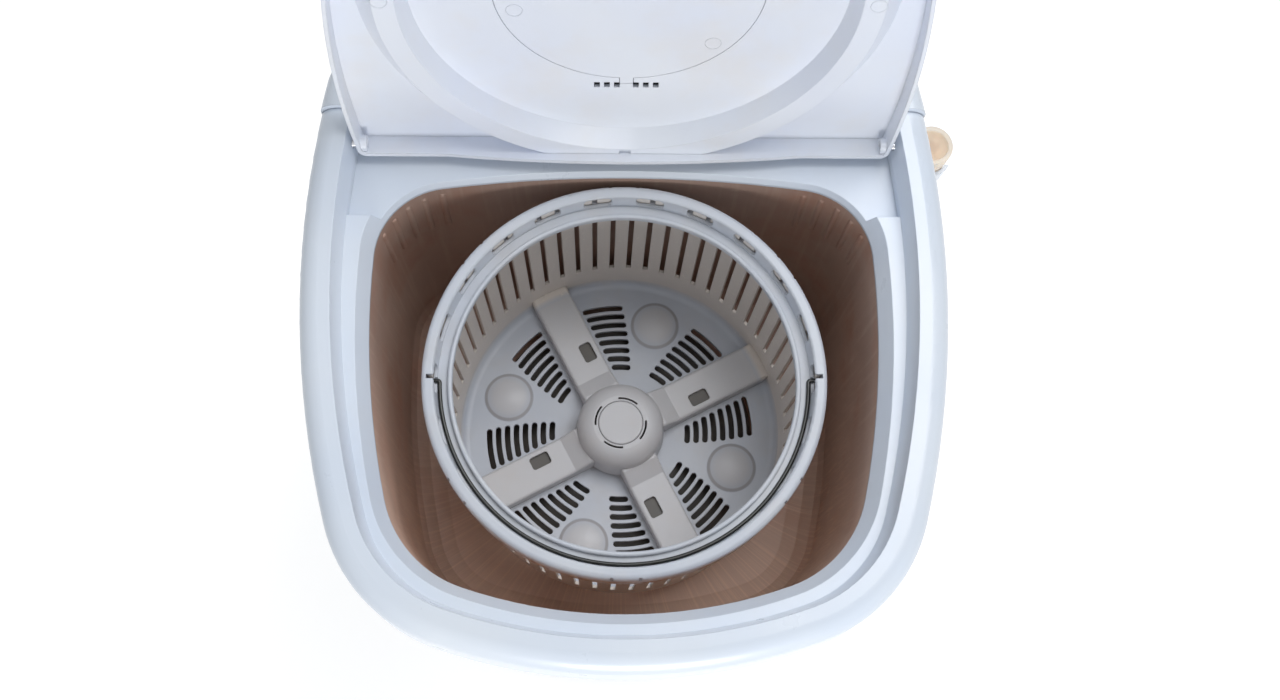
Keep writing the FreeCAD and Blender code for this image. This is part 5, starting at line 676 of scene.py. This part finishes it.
def make_ring_tree():
    """A thin raised ring on each point of a seed mesh, all tilted alike."""
    tree, given, out = geometry_tree("Pin Marks", [
        ("Radius", VALUE, 0.0047), ("Line", VALUE, 0.0003), ("Tilt", VECTOR, (0, 0, 0)),
        ("Finish", MATERIAL, None)])
    path = add(tree, "GeometryNodeCurvePrimitiveCircle", {
        "Resolution": 40, "Radius": given["Radius"]})
    section = add(tree, "GeometryNodeCurvePrimitiveCircle", {
        "Resolution": 6, "Radius": given["Line"]})
    ring = add(tree, "GeometryNodeCurveToMesh", {
        "Curve": path.outputs[0], "Profile Curve": section.outputs[0]})
    laid = add(tree, "GeometryNodeInstanceOnPoints", {
        "Points": given["Geometry"], "Instance": ring.outputs[0], "Rotation": given["Tilt"]})
    finish_tree(tree, laid.outputs[0], given["Finish"], out)
    return tree


def seed_points(name, points):
    """A mesh of loose points."""
    mesh = bpy.data.meshes.new(name)
    mesh.from_pydata([tuple(point) for point in points], [], [])
    return mesh


def lid_point(across, back, height):
    """A point given on the shut lid, at its place on the open one."""
    hinge = JOINTS["lid_hinge"]
    pivot = Vector(hinge["pos_m"])
    turn = Matrix.Rotation(-math.radians(hinge["range_deg"][0]), 4, Vector(hinge["axis"]))
    return pivot + turn @ (Vector((across, back, height)) - pivot)


# Operators.


class WASHER_OT_body(bpy.types.Operator):
    """Finishes the cabinet, frame, console, base and rear cover"""

    bl_idname = "washer.body"
    bl_label = "Body"

    def execute(self, context):
        finish, tree, shader = finish_of("glossy_body_plastic")
        dirtied(tree, shader, colours().body_dirt, reach=0.004, scale=60.0, amount=0.35)
        dress(finish, "cabinet", "top_frame", "rear_console", "rear_cover", "base_tray",
              "hose_clip")
        plain("foot_rubber", "feet", "cord_gland", "outlet_grommet", "tub_gasket",
              "motor_grommets", "drive_belt", "inner_drain_hose", "shaft_seal")
        return {"FINISHED"}


class WASHER_OT_lid(bpy.types.Operator):
    """Finishes the lid and its disc"""

    bl_idname = "washer.lid"
    bl_label = "Lid"

    def execute(self, context):
        plain("glossy_lid_plastic", "lid")
        disc, tree, shader = finish_of("lid_disc_plastic")
        # The near-black band under the disc's rim is painted shade seen through the lid's square
        # holes.
        over(tree, shader, colours().seal, self.seal(tree))
        dress(disc, "lid_insert")
        return {"FINISHED"}

    def seal(self, tree):
        """Painted shade: a near-black band on the disc's underside, under its rim, that darkens
        the lid's square holes.
        """
        foot = lid_point(0, 0, LID_TOP)
        up = lid_point(0, 0, LID_TOP + 1) - foot
        height = add(tree, "ShaderNodeVectorMath", {0: object_point(tree), 1: up},
                     operation="DOT_PRODUCT")
        lift = calculate(tree, "SUBTRACT", height.outputs["Value"], foot.dot(up))
        off = calculate(tree, "SUBTRACT", lift, HOLE_SHADE_LIFT)
        return ramp(tree, calculate(tree, "ABSOLUTE", off), *HOLE_SHADE_EDGE)


class WASHER_OT_lid_marks(bpy.types.Operator):
    """Adds the ejector marks on the lid's underside"""

    bl_idname = "washer.lid_marks"
    bl_label = "Lid marks"

    def execute(self, context):
        detail = sizes()
        finish = NODES["lid"].data.materials[0]
        tilt = math.radians(JOINTS["lid_hinge"]["range_deg"][0])
        places = [lid_point(*self.round_place(angle, radius), height)
                  for radius, height, angles in LID_MARKS for angle in angles]
        mesh = grown("lid_pin_marks", make_ring_tree(), {
            "Radius": detail.pin_mark_radius, "Line": detail.pin_mark_line,
            "Tilt": (tilt, 0.0, 0.0), "Finish": finish}, seed_points("lid_pin_seed", places))
        mesh_piece("lid_pin_marks", mesh, finish, "lid_door")
        return {"FINISHED"}

    def round_place(self, angle, radius):
        """Across and back of a point on a circle round the middle of the lid's dish."""
        turn = math.radians(angle)
        return radius * math.cos(turn), LID_MIDDLE + radius * math.sin(turn)


class WASHER_OT_tub(bpy.types.Operator):
    """Finishes the brown wash tub"""

    bl_idname = "washer.tub"
    bl_label = "Tub"

    def execute(self, context):
        paint = colours()
        finish, tree, shader = finish_of("brown_tub_plastic")
        streak = group(tree, "Wall Streaks", TUB_STREAKS).outputs[0]
        over(tree, shader, paint.tub_streak, streak, STREAK_AMOUNT)
        scratch = group(tree, "Wall Streaks", TUB_SCRATCHES).outputs[0]
        place = group(tree, "Round Place").outputs
        low = ramp(tree, place["Height"], *TUB_LOW)
        front = ramp(tree, place["Back"], *TUB_FRONT)
        leftward = ramp(tree, place["Across"], *TUB_LEFT, floor=FILM_AND_LIGHT_RIGHT)
        patches = noise_mask(tree, scale=16.0, start=0.1, end=0.5)
        # Partly a pale film of lime, partly painted light: paler towards the front and the left,
        # in patches.
        over(tree, shader, paint.tub_haze, front, leftward, patches, FILM_AND_LIGHT_AMOUNT)
        # Painted shade: darker towards the rear of the tub.
        rear = ramp(tree, place["Back"], *TUB_REAR)
        over(tree, shader, paint.tub_shade, rear, SHADE_AMOUNT)
        over(tree, shader, paint.tub_scratch, scratch, low, front)
        dirtied(tree, shader, paint.tub_dirt, reach=0.008, scale=70.0, amount=0.5)
        dress(finish, "tub")
        return {"FINISHED"}


class WASHER_OT_basket(bpy.types.Operator):
    """Finishes the spin basket, its ring, the hub's cap and the pulsator"""

    bl_idname = "washer.basket"
    bl_label = "Basket"

    def execute(self, context):
        paint = colours()
        finish, tree, shader = finish_of("satin_basket_plastic")
        place = group(tree, "Round Place").outputs
        inside = ramp(tree, place["Radius"], *FLOOR_EDGE)
        raised = ramp(tree, place["Height"], *ARM_RISE)
        over(tree, shader, paint.basket_raised, inside, raised, ARM_AMOUNT)
        self.wall(tree, shader, place, paint)
        # Painted shade: a dark line round the foot of the arms, the hub and the bumps, where they
        # meet the floor.
        off = calculate(tree, "SUBTRACT", place["Height"], ARM_FOOT)
        foot = ramp(tree, calculate(tree, "ABSOLUTE", off), *ARM_FOOT_SHADE_EDGE)
        over(tree, shader, paint.grime, inside, foot, ARM_FOOT_SHADE_AMOUNT)
        dirtied(tree, shader, paint.grime, reach=0.006, scale=130.0, amount=0.85)
        dress(finish, "spin_basket", "hub_cap")
        self.ring(paint)
        inner, tree, shader = finish_of("grey_pulsator_plastic")
        dirtied(tree, shader, paint.pulsator_dirt, reach=0.006, scale=110.0, amount=0.6)
        dress(inner, "pulsator")
        return {"FINISHED"}

    def wall(self, tree, shader, place, paint):
        """A warmer wall with pale specks, brown in patches on the upper part of its outside."""
        wall = product(tree, ramp(tree, place["Radius"], *WALL_EDGE),
                       ramp(tree, place["Height"], *WALL_RISE))
        over(tree, shader, paint.basket_warm, wall, WALL_AMOUNT)
        specks = noise_mask(tree, scale=420.0, start=0.62, end=0.72)
        over(tree, shader, paint.wall_speck, wall, specks)
        depth = calculate(tree, "SUBTRACT", BASKET_FLOOR, place["Height"])
        slope = product(tree, depth, WALL_SLOPE)
        upright = calculate(tree, "ADD", place["Radius"], slope)
        outside = ramp(tree, upright, *WALL_OUTSIDE)
        high = ramp(tree, place["Height"], *WALL_HIGH)
        patches = noise_mask(tree, scale=30.0, start=0.1, end=0.5)
        over(tree, shader, paint.old_dirt, wall, outside, high, patches, OUTER_WALL_BROWN_AMOUNT)

    def ring(self, paint):
        """The ring is whiter, and brown in patches, with pale specks, round the outside of its
        lower edge at the front.
        """
        low, high = (corner.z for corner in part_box("basket_ring"))
        finish, tree, shader = finish_of("basket_ring_plastic")
        place = group(tree, "Round Place").outputs
        outside = ramp(tree, place["Radius"], *RING_OUTSIDE)
        lower = ramp(tree, place["Height"], high - RING_MARGIN, low + RING_MARGIN)
        front = ramp(tree, place["Back"], *RING_FRONT)
        patches = noise_mask(tree, scale=70.0, start=0.34, end=0.56)
        rust = product(tree, outside, lower, front, patches)
        over(tree, shader, paint.rust, rust)
        ring_specks = noise_mask(tree, scale=260.0, start=0.6, end=0.66)
        over(tree, shader, paint.rust_chip, rust, ring_specks)
        dirtied(tree, shader, paint.grime, reach=0.003, scale=160.0, amount=0.6)
        dress(finish, "basket_ring")


class WASHER_OT_bail(bpy.types.Operator):
    """Finishes the black wire bail"""

    bl_idname = "washer.bail"
    bl_label = "Bail"

    def execute(self, context):
        plain("black_coated_wire", "bail")
        return {"FINISHED"}


class WASHER_OT_controls(bpy.types.Operator):
    """Finishes the control panel and its knobs, and prints the scales"""

    bl_idname = "washer.controls"
    bl_label = "Controls"

    def execute(self, context):
        plain("printed_panel", "control_panel")
        knob, tree, shader = finish_of("knob_plastic")
        dirtied(tree, shader, colours().knob_dirt, reach=0.002, scale=160.0, amount=0.4)
        dress(knob, "timer_knob", "selector_knob")
        plain("switch_case_plastic", "wash_timer", "selector_switch")
        ink, dark = finish_of("white_print")[0], finish_of("pointer_print")[0]
        knob_radius = (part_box("timer_knob")[1].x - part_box("timer_knob")[0].x) / 2
        ticks = make_tick_tree()
        for name, count, numbered in DIALS:
            self.dial(name, count, numbered, knob_radius, ticks, ink, dark)
        return {"FINISHED"}

    def dial(self, name, count, numbered, knob_radius, ticks, ink, dark):
        """A dial's ticks and numbers on the panel, and the pointer on its knob."""
        detail = sizes()
        low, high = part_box("control_panel")
        turn = JOINTS[f"{name}_turn"]
        sign = math.copysign(1, turn["axis"][2])
        first, last = (math.radians(DIAL_START + sign * value) for value in turn["range_deg"])
        across, back, _ = turn["pos_m"]
        centre = Vector((across, back, high.z + detail.print_height / 2))
        edge = knob_radius + detail.tick_gap
        mesh = grown(f"{name}_scale_ticks", ticks, {
            "Count": count, "Radius": edge, "First": first, "Last": last,
            "Length": detail.tick_length, "Width": detail.tick_width,
            "Height": detail.print_height, "Room": (high.y - low.y) / 2, "Centre": tuple(centre),
            "Finish": ink})
        mesh_piece(f"{name}_scale_ticks", mesh, ink, "machine")
        self.pointer(name, knob_radius, dark)
        reach = edge + detail.tick_length + detail.numeral_height * NUMERAL_GAP
        for number in numbered:
            angle = first + (last - first) * number / (count - 1)
            spot = centre + reach * Vector((math.cos(angle), math.sin(angle), 0))
            self.numeral(str(number), spot, ink)

    def numeral(self, text, spot, finish):
        """A minute of the timer's scale, as a flat printed figure."""
        line = bpy.data.curves.new("numeral", "FONT")
        line.body = text
        line.align_x, line.align_y = "CENTER", "CENTER"
        line.size = sizes().numeral_height * FONT_SIZE
        line.extrude = sizes().print_height / 2
        holder = bpy.data.objects.new("numeral_holder", line)
        bpy.context.scene.collection.objects.link(holder)
        mesh = settled(holder)
        mesh.transform(Matrix.Translation(spot))
        mesh_piece(f"timer_numeral_{text}", mesh, finish, "machine")

    def pointer(self, name, knob_radius, finish):
        """A line on top of a knob's grip, from its middle to its edge."""
        detail = sizes()
        across, back, _ = JOINTS[f"{name}_turn"]["pos_m"]
        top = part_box(f"{name}_knob")[1].z
        shape = bmesh.new()
        bmesh.ops.create_cube(shape, size=1)
        size = Matrix.Diagonal((knob_radius * POINTER_LENGTH, detail.pointer_width,
                                detail.print_height * POINTER_HEIGHT, 1))
        bmesh.ops.transform(shape, matrix=size, verts=shape.verts)
        bmesh.ops.bevel(shape, geom=list(shape.edges), segments=2, affect="EDGES",
                        offset=detail.print_height * POINTER_BEVEL)
        turn = Matrix.Rotation(math.radians(DIAL_START), 4, "Z")
        place = Matrix.Translation((across, back + knob_radius * POINTER_MIDDLE,
                                    top + detail.print_height * POINTER_LIFT))
        bmesh.ops.transform(shape, matrix=place @ turn, verts=shape.verts)
        mesh = shaped(f"{name}_pointer", shape)
        mesh_piece(f"{name}_pointer", mesh, finish, f"{name}_dial")


class WASHER_OT_drive(bpy.types.Operator):
    """Finishes the motor, pulleys, shaft, bearing housing, capacitor and fasteners"""

    bl_idname = "washer.drive"
    bl_label = "Drive"

    def execute(self, context):
        plain("motor_paint", "motor")
        plain("cast_alloy", "bearing_housing")
        plain("turned_steel", "drive_shaft", "motor_shaft", "hinge_pins", "timer_spindle",
              "selector_spindle")
        plain("zinc_plate", "motor_bracket", "pulley_nut", "motor_bolts", "housing_bolts",
              "pulsator_screw", "rear_cover_screws", "base_screws", "console_screws", "tub_screws")
        plain("oiled_bronze", "upper_bush", "lower_bush")
        plain("pulley_black", "driven_pulley", "motor_pulley", "capacitor_clip")
        plain("capacitor_plastic", "capacitor")
        return {"FINISHED"}


class WASHER_OT_drain(bpy.types.Operator):
    """Finishes the ribbed drain hose and its outlet"""

    bl_idname = "washer.drain"
    bl_label = "Drain"

    def execute(self, context):
        paint = colours()
        finish, tree, shader = finish_of("beige_hose_plastic")
        dirtied(tree, shader, paint.hose_dirt, reach=0.003, scale=90.0, amount=0.5)
        shader.inputs["Subsurface Weight"].default_value = 0.6
        shader.inputs["Subsurface Radius"].default_value = (0.02, 0.016, 0.012)
        shader.inputs["Subsurface Scale"].default_value = 1.0
        self.glow(tree, shader, paint)
        dress(finish, "drain_hose")
        plain("outlet_plastic", "drain_outlet")
        return {"FINISHED"}

    def glow(self, tree, shader, paint):
        """A little light in the hose's mouth, in place of light through its wall."""
        hollow = add(tree, "ShaderNodeAmbientOcclusion", {"Distance": 0.02}, samples=RAY_SAMPLES,
                     only_local=True)
        inside = ramp(tree, hollow.outputs["AO"], start=0.75, end=0.3, ceiling=HOSE_GLOW)
        tree.links.new(inside, shader.inputs["Emission Strength"])
        shader.inputs["Emission Color"].default_value = rgba(paint.hose_glow)


class WASHER_OT_stage(bpy.types.Operator):
    """Sets up the floor, the light and the camera"""

    bl_idname = "washer.stage"
    bl_label = "Stage"

    def execute(self, context):
        scene = context.scene
        settings = scene.washer_stage
        scene.view_settings.view_transform = "Standard"
        self.floor(settings)
        self.sky(scene, settings)
        self.lamp("soft_key", settings.key_power, *KEY_LAMP)
        self.lamp("front_fill", settings.fill_power, *FILL_LAMP)
        self.camera(scene, settings)
        return {"FINISHED"}

    def seen(self, tree):
        """1 where the camera, a mirror or a glass looks, and 0 for the light itself."""
        path = add(tree, "ShaderNodeLightPath").outputs
        shown = calculate(tree, "ADD", path["Is Camera Ray"], path["Is Glossy Ray"])
        inputs = {0: shown, 1: path["Is Transmission Ray"]}
        return add(tree, "ShaderNodeMath", inputs, operation="ADD", use_clamp=True).outputs[0]

    def floor(self, settings):
        """A pale floor, lifted to white where it is looked at, that keeps the shadow."""
        shape = bmesh.new()
        bmesh.ops.create_grid(shape, x_segments=4, y_segments=4, size=settings.floor_width / 2)
        mesh = shaped("studio_floor", shape)
        plate = bpy.data.objects.new("studio_floor", mesh)
        bpy.context.scene.collection.objects.link(plate)
        finish = bpy.data.materials.new("pale_floor")
        tree = bare_tree(finish)
        matte = add(tree, "ShaderNodeBsdfDiffuse", {"Color": rgba([FLOOR_GREY] * 3)})
        lift = product(tree, self.seen(tree), FLOOR_GLOW)
        glow = add(tree, "ShaderNodeEmission", {"Color": WHITE, "Strength": lift})
        both = add(tree, "ShaderNodeAddShader", {0: matte.outputs[0], 1: glow.outputs[0]})
        add(tree, "ShaderNodeOutputMaterial", {0: both.outputs[0]})
        mesh.materials.append(finish)

    def sky(self, scene, settings):
        """Even light from all sides, and white where it is looked at."""
        world = bpy.data.worlds.new("even_sky")
        scene.world = world
        tree = bare_tree(world)
        strength = ramp(tree, self.seen(tree), start=0.0, end=1.0, floor=settings.sky_strength)
        shade = blend(tree, self.seen(tree), SKY_TONE, WHITE)
        back = add(tree, "ShaderNodeBackground", {"Color": shade, "Strength": strength})
        add(tree, "ShaderNodeOutputWorld", {0: back.outputs[0]})

    def lamp(self, name, power, place, target, side):
        """A large square lamp that looks at a target."""
        data = bpy.data.lights.new(name, "AREA")
        data.size = side
        data.energy = power
        lamp = bpy.data.objects.new(name, data)
        bpy.context.scene.collection.objects.link(lamp)
        lamp.location = place
        aim = Vector(target) - lamp.location
        lamp.rotation_euler = aim.to_track_quat("-Z", "Y").to_euler()

    def camera(self, scene, settings):
        """The photo's camera, which looks down, a little to the right, with its top tilted."""
        data = bpy.data.cameras.new("photo_camera")
        data.sensor_fit = "HORIZONTAL"
        data.sensor_width = SENSOR_WIDTH
        data.lens = settings.lens
        data.clip_end = FAR_CLIP
        view = bpy.data.objects.new("photo_camera", data)
        scene.collection.objects.link(view)
        pitch, yaw, roll = map(math.radians, (CAMERA_PITCH, CAMERA_YAW, CAMERA_ROLL))
        ahead = Vector((math.sin(yaw) * math.cos(pitch), math.cos(yaw) * math.cos(pitch),
                        -math.sin(pitch)))
        flat = Vector((math.cos(yaw), -math.sin(yaw), 0))
        upright = flat.cross(ahead)
        right = flat * math.cos(roll) + upright * math.sin(roll)
        above = upright * math.cos(roll) - flat * math.sin(roll)
        turn = Matrix((right, above, -ahead)).transposed().to_4x4()
        view.matrix_world = Matrix.Translation(CAMERA_PLACE) @ turn
        scene.camera = view


class WASHER_PT_sidebar(bpy.types.Panel):
    """Lists the washer's pieces and settings"""

    bl_idname = "WASHER_PT_sidebar"
    bl_label = "Washer"
    bl_space_type = "VIEW_3D"
    bl_region_type = "UI"
    bl_category = "Washer"

    def draw(self, context):
        for operator in OPERATORS:
            self.layout.operator(operator.bl_idname)
        scene = context.scene
        for settings in (scene.washer_colours, scene.washer_sizes, scene.washer_stage):
            box = self.layout.box()
            for name in settings.__annotations__:
                box.prop(settings, name)


OPERATORS = (
    WASHER_OT_body, WASHER_OT_lid, WASHER_OT_lid_marks, WASHER_OT_tub, WASHER_OT_basket,
    WASHER_OT_bail, WASHER_OT_controls, WASHER_OT_drive, WASHER_OT_drain, WASHER_OT_stage)
CLASSES = (WasherColours, WasherSizes, WasherStage, *OPERATORS, WASHER_PT_sidebar)


def register():
    """Registers the classes, and the settings on the scene."""
    for item in CLASSES:
        bpy.utils.register_class(item)
    bpy.types.Scene.washer_colours = bpy.props.PointerProperty(type=WasherColours)
    bpy.types.Scene.washer_sizes = bpy.props.PointerProperty(type=WasherSizes)
    bpy.types.Scene.washer_stage = bpy.props.PointerProperty(type=WasherStage)


def unregister():
    """Takes the settings and the classes away again."""
    del bpy.types.Scene.washer_stage
    del bpy.types.Scene.washer_sizes
    del bpy.types.Scene.washer_colours
    for item in reversed(CLASSES):
        bpy.utils.unregister_class(item)


def main():
    """Runs every operator in order."""
    register()
    for operator in OPERATORS:
        part, name = operator.bl_idname.split(".")
        getattr(getattr(bpy.ops, part), name)()


if __name__ == "__main__":
    main()
